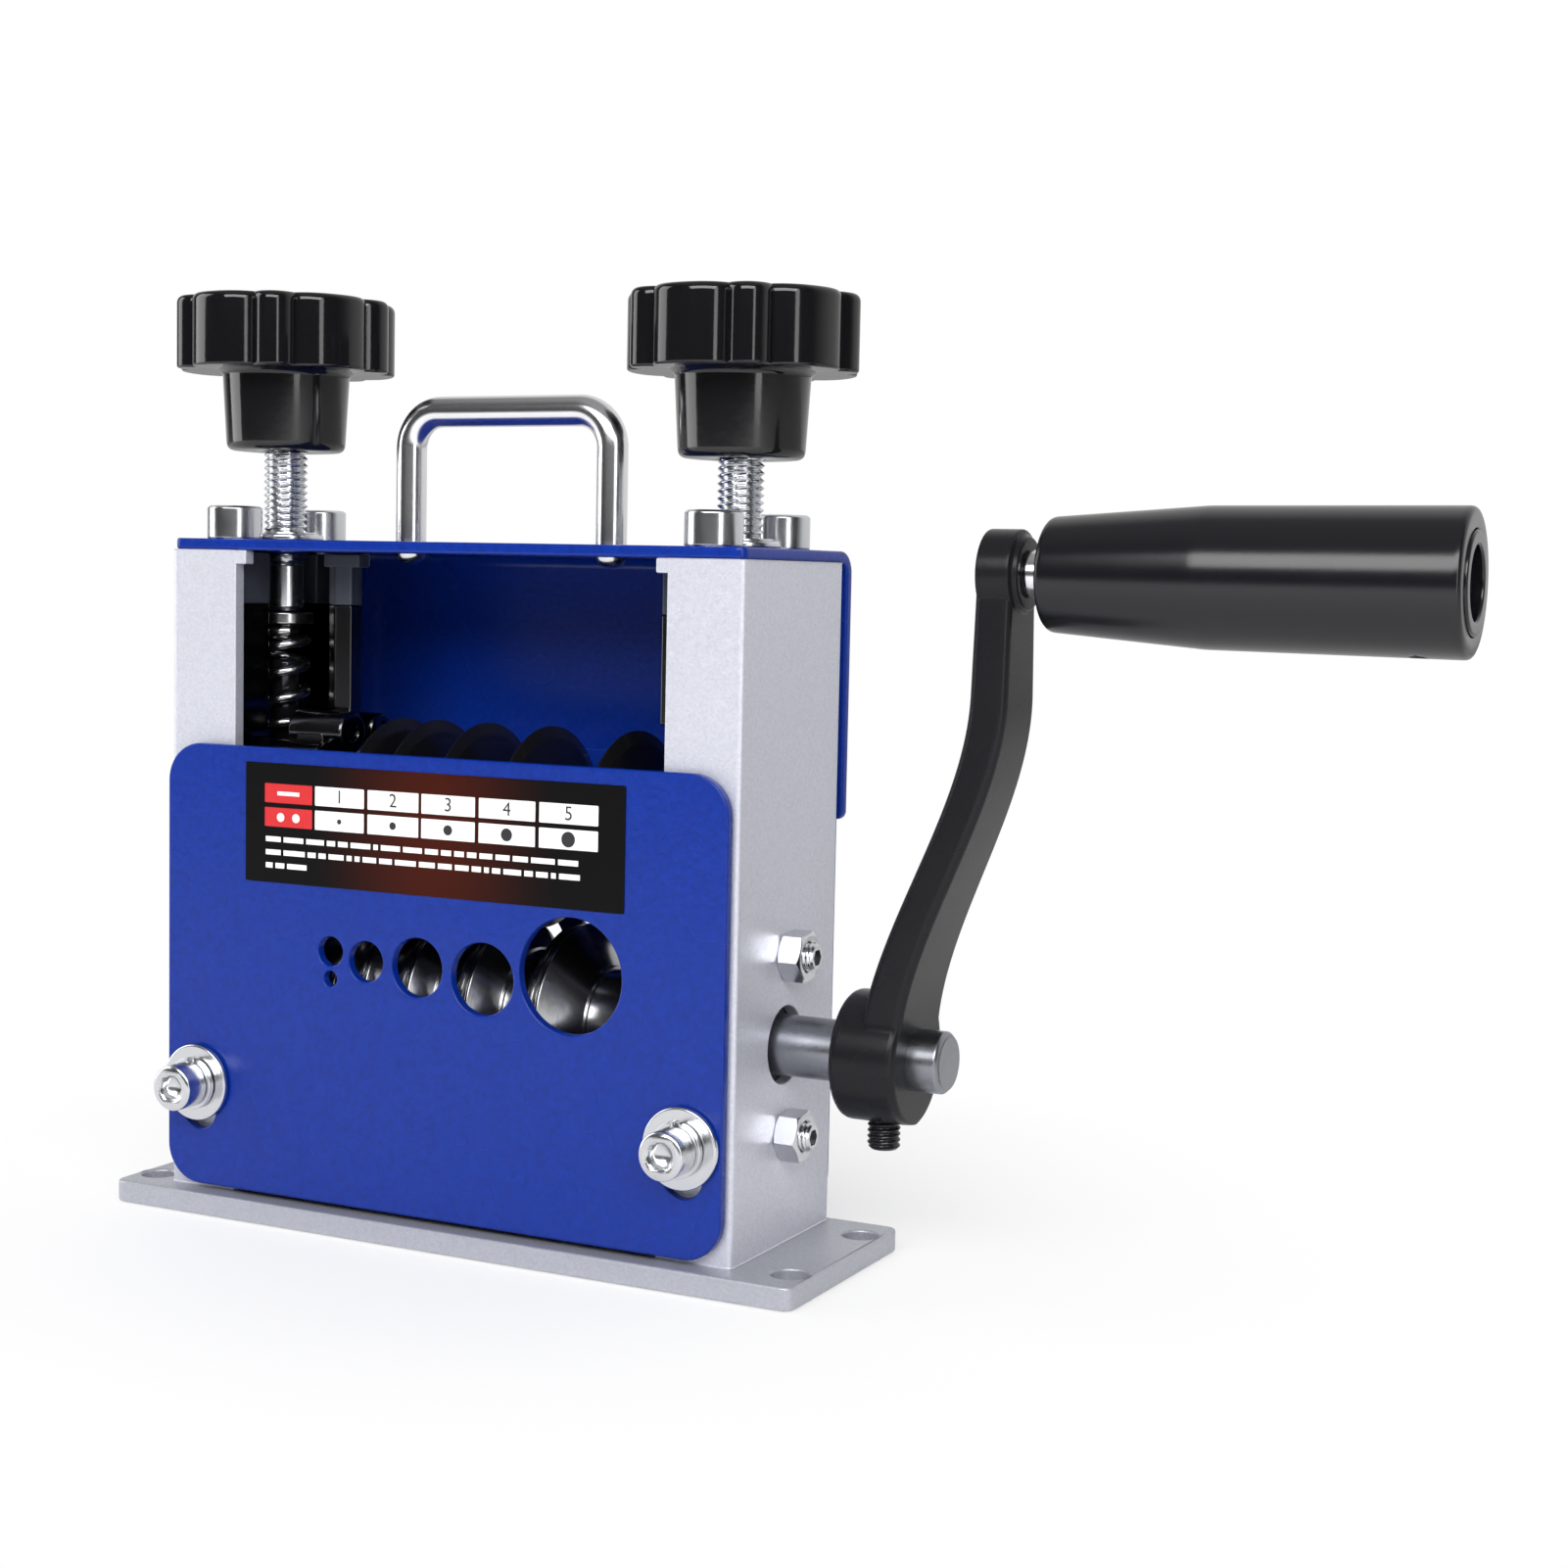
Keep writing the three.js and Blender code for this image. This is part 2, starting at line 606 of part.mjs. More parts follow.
// The back wall, the leaning wall and the rail at its front edge, between two heights.
function railedWall(slotEnd, low, high) {
  const back = INNER_HALF_DEPTH;
  const backFace = back - GUIDE_BACK_WALL;
  const reach = slotEnd + RAIL_WIDTH;
  const leaning = (y) => reach - (y + RAIL_BACK) * LEANING_WALL_SLOPE;
  const outline = [
    [PILLAR_WALL, back],
    [PILLAR_WALL, backFace],
    [leaning(backFace) - LEANING_WALL_WIDTH, backFace],
    [reach - LEANING_WALL_WIDTH, -RAIL_BACK],
    [slotEnd, -RAIL_BACK],
    [slotEnd, RAIL_CHAMFER_DEPTH - GUIDE_FRONT],
    [slotEnd + RAIL_CHAMFER_WIDTH, -GUIDE_FRONT],
    [reach, -GUIDE_FRONT],
    [reach, -RAIL_BACK],
    [leaning(back), back],
  ];
  const shape = new THREE.Shape(outline.map(([x, y]) => new THREE.Vector2(x, y)));
  return extruded(shape, high - low).translate(0, 0, low);
}

// The block under the cover: it takes the cover screws in front of and behind its slot, in which
// the thrust pad can rise. A wide block has a plate on its rail that stands out past it.
function nutBlock(name, slotEnd) {
  const top = NUT_BLOCK_TOP_Z;
  const back = INNER_HALF_DEPTH;
  const joined = [
    railedWall(slotEnd, NUT_BLOCK_Z, top),
    block([PILLAR_WALL, -back, NUT_BLOCK_Z], [SLOT_START_U, back, top]),
    block([PILLAR_WALL, -back, NUT_BLOCK_Z], [BOSS_REACH, -NUT_BLOCK_SLOT_FRONT, top]),
    block([PILLAR_WALL, NUT_BLOCK_SLOT_BACK, NUT_BLOCK_Z], [BOSS_REACH, back, top]),
  ];
  if (slotEnd > TAB_REACH) {
    const low = top - NUT_BLOCK_PLATE_THICKNESS;
    const reach = slotEnd + RAIL_WIDTH + NUT_BLOCK_PLATE_LEDGE;
    joined.push(block([slotEnd, -GUIDE_FRONT, low], [reach, -RAIL_BACK, top]));
  }
  const cuts = [];
  for (const end of [-1, 1]) {
    cuts.push(
      bar(
        "z",
        COVER_SCREW_DIAMETER + SCREW_CLEARANCE,
        NUT_BLOCK_Z - CUT_OVERRUN,
        top + CUT_OVERRUN,
        [COVER_SCREW_U, (end * COVER_SCREW_PITCH) / 2, 0],
      ),
    );
  }
  return piece(name, shaped(joined, cuts), BLACK_STEEL);
}

// Three round stops below a wide guide's rail, on two webs and a neck.
function guideStops(slotEnd) {
  const high = BLADE_SHAFT_Z + STOP_RISE;
  const low = BLADE_SHAFT_Z + LOW_STOP_RISE;
  const half = STOP_WEB_HALF;
  const stop = (radius, start, length, y, z) => bar("x", radius * 2, start, start + length, [0, y, z]);
  return [
    stop(STOP_RADIUS, STOP_START_U, STOP_LENGTH, STOP_Y, high),
    stop(BACK_STOP_RADIUS, STOP_START_U, BACK_STOP_LENGTH, BACK_STOP_Y, high),
    stop(STOP_RADIUS, LOW_STOP_START_U, LOW_STOP_LENGTH, LOW_STOP_Y, low),
    block([STOP_WEB_START_U, STOP_Y, high - half], [STOP_WEB_END_U, BACK_STOP_Y, high + half]),
    block([STOP_WEB_START_U, LOW_STOP_Y, low], [STOP_WEB_END_U, STOP_Y, high]),
    block([STOP_NECK_START_U, -GUIDE_FRONT, high], [slotEnd + RAIL_WIDTH, -RAIL_BACK, RAIL_BOTTOM_Z]),
  ];
}

// The guide: a wall along the pillar, a back wall, a cheek in front of the spring and a rail
// beside it.
function guideFrame(name, slotEnd) {
  const back = INNER_HALF_DEPTH;
  const start = PILLAR_WALL;
  const joined = [
    railedWall(slotEnd, RAIL_BOTTOM_Z, NUT_BLOCK_Z),
    block([start, back - GUIDE_BACK_WALL, GUIDE_BOTTOM_Z], [BOSS_REACH, back, NUT_BLOCK_Z]),
    block([start, -GUIDE_FRONT, GUIDE_BOTTOM_Z], [SLOT_START_U, back, NUT_BLOCK_Z]),
    block([start, -back, GUIDE_CHEEK_Z], [SLOT_START_U, back, NUT_BLOCK_Z]),
    block([start, -back, GUIDE_CHEEK_Z], [BOSS_REACH, -NUT_BLOCK_SLOT_FRONT, NUT_BLOCK_Z]),
  ];
  if (slotEnd > TAB_REACH) joined.push(...guideStops(slotEnd));
  return piece(name, shaped(joined), BLACK_STEEL);
}

function lowerBearing(name) {
  const half = LOWER_BEARING_HEIGHT / 2;
  const depth = LOWER_BEARING_DEPTH / 2;
  const inner = PILLAR_WALL + LOWER_BEARING_THICKNESS;
  const body = block([PILLAR_WALL, -depth, FEED_SHAFT_Z - half], [inner, depth, FEED_SHAFT_Z + half]);
  const cuts = [
    bar("x", FEED_SHAFT_DIAMETER + SHAFT_CLEARANCE, 0, inner + CUT_OVERRUN, [0, 0, FEED_SHAFT_Z]),
  ];
  for (const end of [-1, 1]) {
    const z = FEED_SHAFT_Z + (end * STUD_SPREAD) / 2;
    const depthOfHole = PILLAR_WALL + STUD_GRIP + SCREW_CLEARANCE;
    cuts.push(bar("x", STUD_DIAMETER + SCREW_CLEARANCE, 0, depthOfHole, [0, 0, z]));
  }
  return piece(name, shaped([body], cuts), BLACK_STEEL);
}

// The upper bearing is a round housing with a flat seat and a spigot for the spring.
function upperBearing(name) {
  const start = UPPER_BEARING_START_U;
  const end = start + UPPER_BEARING_LENGTH;
  const crown = BLADE_SHAFT_Z + BLADE_SHAFT_DIAMETER;
  const spigotTop = UPPER_SEAT_Z + BLOCK_SPIGOT_LENGTH;
  const joined = [
    bar("x", UPPER_BEARING_RADIUS * 2, start, end, [0, 0, BLADE_SHAFT_Z], LARGE_SIDES),
    block([start, -SPRING_SEAT_HALF, crown], [end, SPRING_SEAT_HALF, UPPER_SEAT_Z]),
    bar("z", SPIGOT_DIAMETER, crown, spigotTop, [ROD_U, 0, 0]),
  ];
  const bore = bar(
    "x",
    BLADE_SHAFT_DIAMETER + SHAFT_CLEARANCE,
    start - CUT_OVERRUN,
    end + CUT_OVERRUN,
    [0, 0, BLADE_SHAFT_Z],
  );
  return piece(name, shaped(joined, [bore]), BLACK_STEEL);
}

function bearingStud(name, side, end) {
  const z = FEED_SHAFT_Z + (end * STUD_SPREAD) / 2;
  const outer = PILLAR_X + STUD_STICKOUT;
  const inner = PILLAR_X - PILLAR_WALL - STUD_GRIP;
  const socketFrom = outer - STUD_SOCKET_DEPTH;
  const shank = bar("x", STUD_DIAMETER, side * inner, side * outer, [0, 0, z], SMALL_SIDES);
  const socket = hexBar("x", STUD_SOCKET, side * socketFrom, side * (outer + CUT_OVERRUN), [0, 0, z]);
  return piece(name, shaped([shank], [socket]), ZINC);
}

function studNut(name, side, end) {
  const z = FEED_SHAFT_Z + (end * STUD_SPREAD) / 2;
  const outer = PILLAR_X + STUD_NUT_HEIGHT;
  const body = hexBar("x", STUD_NUT_WIDTH, side * PILLAR_X, side * outer, [0, 0, z]);
  const bore = bar(
    "x",
    STUD_DIAMETER + SCREW_CLEARANCE,
    side * (PILLAR_X - CUT_OVERRUN),
    side * (outer + CUT_OVERRUN),
    [0, 0, z],
    SMALL_SIDES,
  );
  return piece(name, shaped([body], [bore]), ZINC);
}

// The cover: a flat top and a back apron, joined by a fold, with the holes of what stands on it.
function topCover() {
  const front = PILLAR_FRONT;
  const apron = PILLAR_BACK + GUARD_THICKNESS + FACE_GAP;
  const back = apron + COVER_THICKNESS;
  const low = COVER_TOP_Z - COVER_DROP;
  const half = PILLAR_X - COVER_INSET;
  const outerFold = COVER_FOLD_RADIUS;
  const innerFold = COVER_FOLD_RADIUS - COVER_THICKNESS;
  const foldY = back - outerFold;
  const foldZ = COVER_TOP_Z - outerFold;
  const section = new THREE.Shape([
    new THREE.Vector2(front, PILLAR_TOP_Z),
    ...arcPoints(foldY, foldZ, innerFold, Math.PI / 2, 0, CORNER_STEPS),
    new THREE.Vector2(apron, low),
    new THREE.Vector2(back, low),
    ...arcPoints(foldY, foldZ, outerFold, 0, Math.PI / 2, CORNER_STEPS),
    new THREE.Vector2(front, COVER_TOP_Z),
  ]);
  const sheet = solid(lengthwise(section, -half, half));
  const plan = extruded(
    roundedRectangle(-half, half, front, back + COVER_CORNER_RADIUS, COVER_CORNER_RADIUS),
    COVER_DROP + CUT_OVERRUN,
  ).translate(0, 0, low - CUT_OVERRUN / 2);
  const rear = upright(
    roundedRectangle(-half, half, low, COVER_TOP_Z + COVER_CORNER_RADIUS, COVER_CORNER_RADIUS),
    back - front + CUT_OVERRUN,
    front - CUT_OVERRUN / 2,
  );
  const body = geometryOf(sheet.intersect(solid(plan)).intersect(solid(rear)));
  const down = (x, y, diameter) =>
    bar("z", diameter + SCREW_CLEARANCE, PILLAR_TOP_Z - CUT_OVERRUN, COVER_TOP_Z + CUT_OVERRUN, [x, y, 0]);
  const cuts = [];
  for (const side of [-1, 1]) {
    cuts.push(down(side * ROD_X, 0, ROD_DIAMETER));
    cuts.push(down(HANDLE_SHIFT_X + (side * HANDLE_SPAN) / 2, 0, HANDLE_SCREW_DIAMETER));
    for (const end of [-1, 1]) {
      cuts.push(down(side * COVER_SCREW_X, (end * COVER_SCREW_PITCH) / 2, COVER_SCREW_DIAMETER));
    }
  }
  return piece("top_cover", shaped([body], cuts), BLUE_PAINT);
}

// The outline that both guards share.
function guardOutline() {
  const half = GUARD_WIDTH / 2;
  const top = GUARD_BOTTOM + GUARD_HEIGHT;
  return roundedRectangle(-half, half, GUARD_BOTTOM, top, GUARD_CORNER_RADIUS);
}

function feedHoles(outline) {
  for (const channel of CHANNELS) {
    for (const hole of channel.holes) {
      outline.holes.push(roundHole(channel.x, hole.z, hole.diameter, LARGE_SIDES));
    }
  }
}

// The front guard hangs on its two screws by slots that let it be lifted.
function frontGuard() {
  const outline = guardOutline();
  feedHoles(outline);
  for (const side of [-1, 1]) {
    const x = side * GUARD_SCREW_X;
    const radius = GUARD_SLOT_WIDTH / 2;
    const top = arcPoints(x, GUARD_SCREW_Z, radius, 0, Math.PI, SMALL_SIDES / 2);
    const low = arcPoints(x, GUARD_SCREW_Z - GUARD_TRAVEL, radius, Math.PI, Math.PI * 2, SMALL_SIDES / 2);
    outline.holes.push(new THREE.Path([...top, ...low]));
  }
  const y = FRONT_GUARD_Y - GUARD_THICKNESS;
  return piece("front_guard", upright(outline, GUARD_THICKNESS, y), BLUE_PAINT);
}

function rearGuard() {
  const outline = guardOutline();
  feedHoles(outline);
  for (const side of [-1, 1]) {
    const diameter = GUARD_SCREW_DIAMETER + SCREW_CLEARANCE;
    outline.holes.push(roundHole(side * GUARD_SCREW_X, GUARD_SCREW_Z, diameter));
  }
  return piece("rear_guard", upright(outline, GUARD_THICKNESS, PILLAR_BACK), BLUE_PAINT);
}

// A screw with a lock washer under its head, seated in front of the flat washer.
function frontScrew(name, side) {
  const seat = FRONT_GUARD_Y - GUARD_THICKNESS - FACE_GAP - GUARD_WASHER_THICKNESS;
  const length = PILLAR_FRONT + PILLAR_WALL + GUARD_SCREW_TAIL - seat;
  const lockWasher = { diameter: LOCK_WASHER_DIAMETER, thickness: LOCK_WASHER_THICKNESS };
  const screw = capScrew(GUARD_SCREW_DIAMETER, length, GUARD_SCREW_HEAD_LENGTH, lockWasher);
  const mesh = piece(name, screw.rotateX(Math.PI / 2), ZINC);
  mesh.position.set(side * GUARD_SCREW_X, seat, GUARD_SCREW_Z);
  return mesh;
}

function ringAlong(axis, outer, inner, from, to, centre) {
  const radii = [inner / 2, outer / 2];
  const profile = [
    [radii[0], from],
    [radii[1], from],
    [radii[1], to],
    [radii[0], to],
    [radii[0], from],
  ];
  return turned(axis, profile, centre);
}

function frontWasher(name, side) {
  const back = FRONT_GUARD_Y - GUARD_THICKNESS - FACE_GAP;
  const bore = GUARD_SCREW_DIAMETER + SCREW_CLEARANCE;
  const front = back - GUARD_WASHER_THICKNESS;
  const centre = [side * GUARD_SCREW_X, 0, GUARD_SCREW_Z];
  return piece(name, ringAlong("y", GUARD_WASHER_DIAMETER, bore, front, back, centre), ZINC);
}

function rearScrew(name, side) {
  const seat = PILLAR_BACK + GUARD_THICKNESS;
  const length = GUARD_THICKNESS + PILLAR_WALL + GUARD_SCREW_TAIL;
  const screw = capScrew(GUARD_SCREW_DIAMETER, length, REAR_SCREW_HEAD_LENGTH).rotateX(-Math.PI / 2);
  const mesh = piece(name, screw, ZINC);
  mesh.position.set(side * GUARD_SCREW_X, seat, GUARD_SCREW_Z);
  return mesh;
}

function coverScrew(name, side, end) {
  const mesh = piece(name, capScrew(COVER_SCREW_DIAMETER, COVER_SCREW_LENGTH, COVER_SCREW_DIAMETER), ZINC);
  mesh.position.set(side * COVER_SCREW_X, (end * COVER_SCREW_PITCH) / 2, COVER_TOP_Z);
  return mesh;
}

// A round bar bent into an upturned U, with a blind hole for the screw in each foot.
function carryHandle() {
  const half = HANDLE_SPAN / 2;
  const top = HANDLE_RISE - HANDLE_BAR_DIAMETER / 2;
  const bend = HANDLE_BEND_RADIUS;
  const points = [new THREE.Vector3(-half, 0, 0)];
  for (const side of [-1, 1]) {
    for (let i = 0; i <= CORNER_STEPS; i++) {
      const turn = ((side < 0 ? i : CORNER_STEPS - i) / CORNER_STEPS) * (Math.PI / 2);
      const x = side * (half - bend + bend * Math.cos(turn));
      points.push(new THREE.Vector3(x, 0, top - bend + bend * Math.sin(turn)));
    }
  }
  points.push(new THREE.Vector3(half, 0, 0));
  const hole = (side) =>
    bar(
      "z",
      HANDLE_SCREW_DIAMETER + SCREW_CLEARANCE,
      -CUT_OVERRUN,
      HANDLE_SCREW_LENGTH - COVER_THICKNESS + SCREW_CLEARANCE,
      [side * half, 0, 0],
      SMALL_SIDES,
    );
  const mesh = piece(
    "carry_handle",
    shaped([tube(points, HANDLE_BAR_DIAMETER, SMALL_SIDES)], [hole(-1), hole(1)]),
    POLISHED_STEEL,
  );
  mesh.position.set(HANDLE_SHIFT_X, 0, COVER_TOP_Z);
  return mesh;
}

// A dome-headed screw from below the cover into a foot of the handle.
function handleScrew(name, side) {
  const radius = HANDLE_SCREW_HEAD_RADIUS;
  const height = HANDLE_SCREW_HEAD_HEIGHT;
  const profile = [[0, -height]];
  for (let i = 1; i <= CORNER_STEPS; i++) {
    const turn = (i / CORNER_STEPS) * (Math.PI / 2);
    profile.push([radius * Math.sin(turn), -height * Math.cos(turn)]);
  }
  profile.push([HANDLE_SCREW_DIAMETER / 2, 0]);
  profile.push([HANDLE_SCREW_DIAMETER / 2, HANDLE_SCREW_LENGTH]);
  profile.push([0, HANDLE_SCREW_LENGTH]);
  const mesh = piece(name, turned("z", profile, [0, 0, 0], SMALL_SIDES), ZINC);
  mesh.position.set(HANDLE_SHIFT_X + (side * HANDLE_SPAN) / 2, 0, PILLAR_TOP_Z);
  return mesh;
}

function rodWasher(name, side) {
  const bore = ROD_DIAMETER + SCREW_CLEARANCE;
  const centre = [side * ROD_X, 0, 0];
  const top = COVER_TOP_Z + ROD_WASHER_THICKNESS;
  return piece(name, ringAlong("z", ROD_WASHER_DIAMETER, bore, COVER_TOP_Z, top, centre), ZINC);
}

function threadedRod(name, side, knobLow) {
  const rod = ROD_DIAMETER / 2;
  const end = ROD_END_DIAMETER / 2;
  const step = ROD_BOTTOM_Z + ROD_END_LENGTH;
  const top = knobLow + ROD_IN_KNOB;
  const profile = [
    [0, ROD_BOTTOM_Z],
    [end, ROD_BOTTOM_Z],
    [end, step],
    [rod, step],
    [rod, top],
    [0, top],
  ];
  return piece(name, turned("z", profile, [side * ROD_X, 0, 0]), ZINC);
}

// How far a knob's rim stands out at an angle, from 0 in a valley to 1 on a lobe.
function lobeBulge(angle) {
  const place = ((angle / (Math.PI * 2)) * KNOB_LOBE_PAIRS + KNOB_LOBE_TURN) % 1;
  const wide = place < KNOB_WIDE_SHARE;
  const across = wide ? place / KNOB_WIDE_SHARE : (place - KNOB_WIDE_SHARE) / (1 - KNOB_WIDE_SHARE);
  return 1 - Math.abs(2 * across - 1) ** (wide ? KNOB_WIDE_POWER : KNOB_NARROW_POWER);
}

// A lobed knob: wide and narrow lobes take turns round its rim and meet in narrow valleys.
function knob(name, side, low) {
  const headLow = low + KNOB_HUB_HEIGHT;
  const headTop = headLow + KNOB_HEAD_HEIGHT;
  const steps = KNOB_LOBE_PAIRS * KNOB_LOBE_STEPS;
  const ringAt = (z, inset) => {
    const ring = [];
    for (let i = 0; i < steps; i++) {
      const angle = (i / steps) * Math.PI * 2;
      const radius = KNOB_RADIUS - inset - KNOB_LOBE_DEPTH * (1 - lobeBulge(angle));
      ring.push(new THREE.Vector3(Math.cos(angle) * radius, Math.sin(angle) * radius, z));
    }
    return ring;
  };
  const head = loft([
    ringAt(headLow, KNOB_EDGE),
    ringAt(headLow + KNOB_EDGE, 0),
    ringAt(headTop - KNOB_EDGE, 0),
    ringAt(headTop, KNOB_EDGE),
  ]);
  const hub = turned(
    "z",
    [
      [0, low],
      [KNOB_HUB_LOW_RADIUS - KNOB_EDGE, low],
      [KNOB_HUB_LOW_RADIUS, low + KNOB_EDGE],
      [KNOB_HUB_TOP_RADIUS, headLow + KNOB_EDGE],
      [0, headLow + KNOB_EDGE],
    ],
    [0, 0, 0],
  );
  const boreTop = low + ROD_IN_KNOB + FACE_GAP;
  const bore = bar("z", ROD_DIAMETER + SCREW_CLEARANCE, low - CUT_OVERRUN, boreTop, [0, 0, 0]);
  const mesh = piece(name, shaped([head, hub], [bore]), BLACK_PLASTIC);
  mesh.position.x = side * ROD_X;
  return mesh;
}

function thrustPad(name, side) {
  const pad = PAD_DIAMETER / 2;
  const spigot = SPIGOT_DIAMETER / 2;
  const profile = [
    [0, PAD_BOTTOM_Z - PAD_SPIGOT_LENGTH],
    [spigot, PAD_BOTTOM_Z - PAD_SPIGOT_LENGTH],
    [spigot, PAD_BOTTOM_Z],
    [pad, PAD_BOTTOM_Z],
    [pad, PAD_TOP_Z],
    [0, PAD_TOP_Z],
  ];
  return piece(name, turned("z", profile, [side * ROD_X, 0, 0]), BLACK_STEEL);
}

// The spring's centre line: closed end turns above and below, open turns between them.
function springLine() {
  const wire = SPRING_WIRE_DIAMETER;
  const low = SPRING_BOTTOM_Z + wire / 2;
  const high = SPRING_TOP_Z - wire / 2;
  const closedRise = SPRING_CLOSED_PITCH * SPRING_CLOSED_TURNS;
  const turns = SPRING_OPEN_TURNS + 2 * SPRING_CLOSED_TURNS;
  const openRise = high - low - 2 * closedRise;
  const count = Math.round(turns * SPRING_STEPS);
  const line = [];
  for (let i = 0; i <= count; i++) {
    const turn = (i / count) * turns;
    const lowTurn = Math.min(turn, SPRING_CLOSED_TURNS);
    const openTurn = Math.min(Math.max(turn - SPRING_CLOSED_TURNS, 0), SPRING_OPEN_TURNS);
    const topTurn = Math.max(turn - SPRING_CLOSED_TURNS - SPRING_OPEN_TURNS, 0);
    const closedPart = (lowTurn + topTurn) * SPRING_CLOSED_PITCH;
    const z = low + closedPart + (openTurn / SPRING_OPEN_TURNS) * openRise;
    const angle = turn * Math.PI * 2;
    const x = Math.cos(angle) * SPRING_MEAN_RADIUS;
    line.push(new THREE.Vector3(x, Math.sin(angle) * SPRING_MEAN_RADIUS, z));
  }
  return line;
}

// The least gap between a wound wire and its own next turns, measured on its points.
function leastGap(line, diameter, stepsPerTurn) {
  let least = Infinity;
  for (let i = 0; i < line.length; i++) {
    for (let k = i + Math.floor(stepsPerTurn / 2); k < line.length; k++) {
      least = Math.min(least, line[i].distanceTo(line[k]) - diameter);
    }
  }
  return least;
}

function spring(name, side) {
  const line = springLine();
  const gap = leastGap(line, SPRING_WIRE_DIAMETER, SPRING_STEPS);
  console.log(`${name}: least gap between turns`, gap.toFixed(2));
  const mesh = piece(name, tube(line, SPRING_WIRE_DIAMETER, SPRING_SIDES), BLACK_STEEL);
  mesh.position.x = side * ROD_X;
  return mesh;
}

function feedShaft() {
  const from = -PILLAR_X + FEED_SHAFT_END_U;
  const to = HUB_OUTER_X + FEED_SHAFT_STICKOUT;
  return piece("feed_shaft", bar("x", FEED_SHAFT_DIAMETER, from, to, [0, 0, FEED_SHAFT_Z]), ZINC);
}

// One roller with a groove for each channel.
function feedRoller() {
  const rim = FEED_ROLLER_RADIUS;
  const bore = (FEED_SHAFT_DIAMETER + SHAFT_CLEARANCE) / 2;
  const first = CHANNELS[0].x - GROOVES[0].half - FEED_ROLLER_END_LAND;
  const last = CHANNELS.at(-1).x + GROOVES.at(-1).half + FEED_ROLLER_END_LAND;
  const profile = [
    [bore, first],
    [rim - FEED_ROLLER_CHAMFER, first],
    [rim, first + FEED_ROLLER_CHAMFER],
  ];
  CHANNELS.forEach(({ x }, i) => {
    const { half, flat, bottom } = GROOVES[i];
    profile.push([rim, x - half], [bottom, x - flat], [bottom, x + flat], [rim, x + half]);
  });
  profile.push([rim, last - FEED_ROLLER_CHAMFER], [rim - FEED_ROLLER_CHAMFER, last]);
  profile.push([bore, last], [bore, first]);
  return piece("feed_roller", turned("x", profile, [0, 0, FEED_SHAFT_Z], LARGE_SIDES), BLACK_STEEL);
}

function bladeStart(index) {
  return CHANNELS[index].x - BLADE_THICKNESS / 2;
}

// A round blade with a bevelled edge, and a hub that reaches to the next blade.
function blade(index) {
  const from = bladeStart(index);
  const to = from + BLADE_THICKNESS;
  const next = index + 1 < CHANNELS.length ? bladeStart(index + 1) - FACE_GAP : to + BLADE_LAST_HUB;
  const bore = (ARBOR_DIAMETER + SHAFT_CLEARANCE) / 2;
  const middle = (from + to) / 2;
  const profile = [
    [bore, from],
    [BLADE_RADIUS - BLADE_BEVEL, from],
    [BLADE_RADIUS, middle - BLADE_EDGE / 2],
    [BLADE_RADIUS, middle + BLADE_EDGE / 2],
    [BLADE_RADIUS - BLADE_BEVEL, to],
    [BLADE_HUB_RADIUS, to],
    [BLADE_HUB_RADIUS, next],
    [bore, next],
    [bore, from],
  ];
  return piece(`blade_${index + 1}`, turned("x", profile, [0, 0, BLADE_SHAFT_Z], LARGE_SIDES), BLACK_STEEL);
}

// The blade shaft: a thin end in each bearing, an arbor for the blades and a shoulder before them.
function bladeShaft() {
  const end = PILLAR_X - UPPER_BEARING_START_U;
  const thin = BLADE_SHAFT_DIAMETER / 2;
  const arbor = ARBOR_DIAMETER / 2;
  const first = bladeStart(0) - FACE_GAP;
  const last = bladeStart(CHANNELS.length - 1) + BLADE_THICKNESS + BLADE_LAST_HUB;
  const nutEnd = last + FACE_GAP + LOCK_NUT_THICKNESS;
  const profile = [
    [0, -end],
    [thin, -end],
    [thin, first - ARBOR_SHOULDER],
    [BLADE_HUB_RADIUS, first - ARBOR_SHOULDER],
    [BLADE_HUB_RADIUS, first],
    [arbor, first],
    [arbor, nutEnd],
    [thin, nutEnd],
    [thin, end],
    [0, end],
  ];
  return piece("blade_shaft", turned("x", profile, [0, 0, BLADE_SHAFT_Z]), BLACK_STEEL);
}

function bladeLockNut() {
  const last = bladeStart(CHANNELS.length - 1) + BLADE_THICKNESS + BLADE_LAST_HUB;
  const from = last + FACE_GAP;
  const bore = ARBOR_DIAMETER + SHAFT_CLEARANCE;
  const centre = [0, 0, BLADE_SHAFT_Z];
  const ring = ringAlong("x", LOCK_NUT_DIAMETER, bore, from, from + LOCK_NUT_THICKNESS, centre);
  return piece("blade_lock_nut", ring, BLACK_STEEL);
}

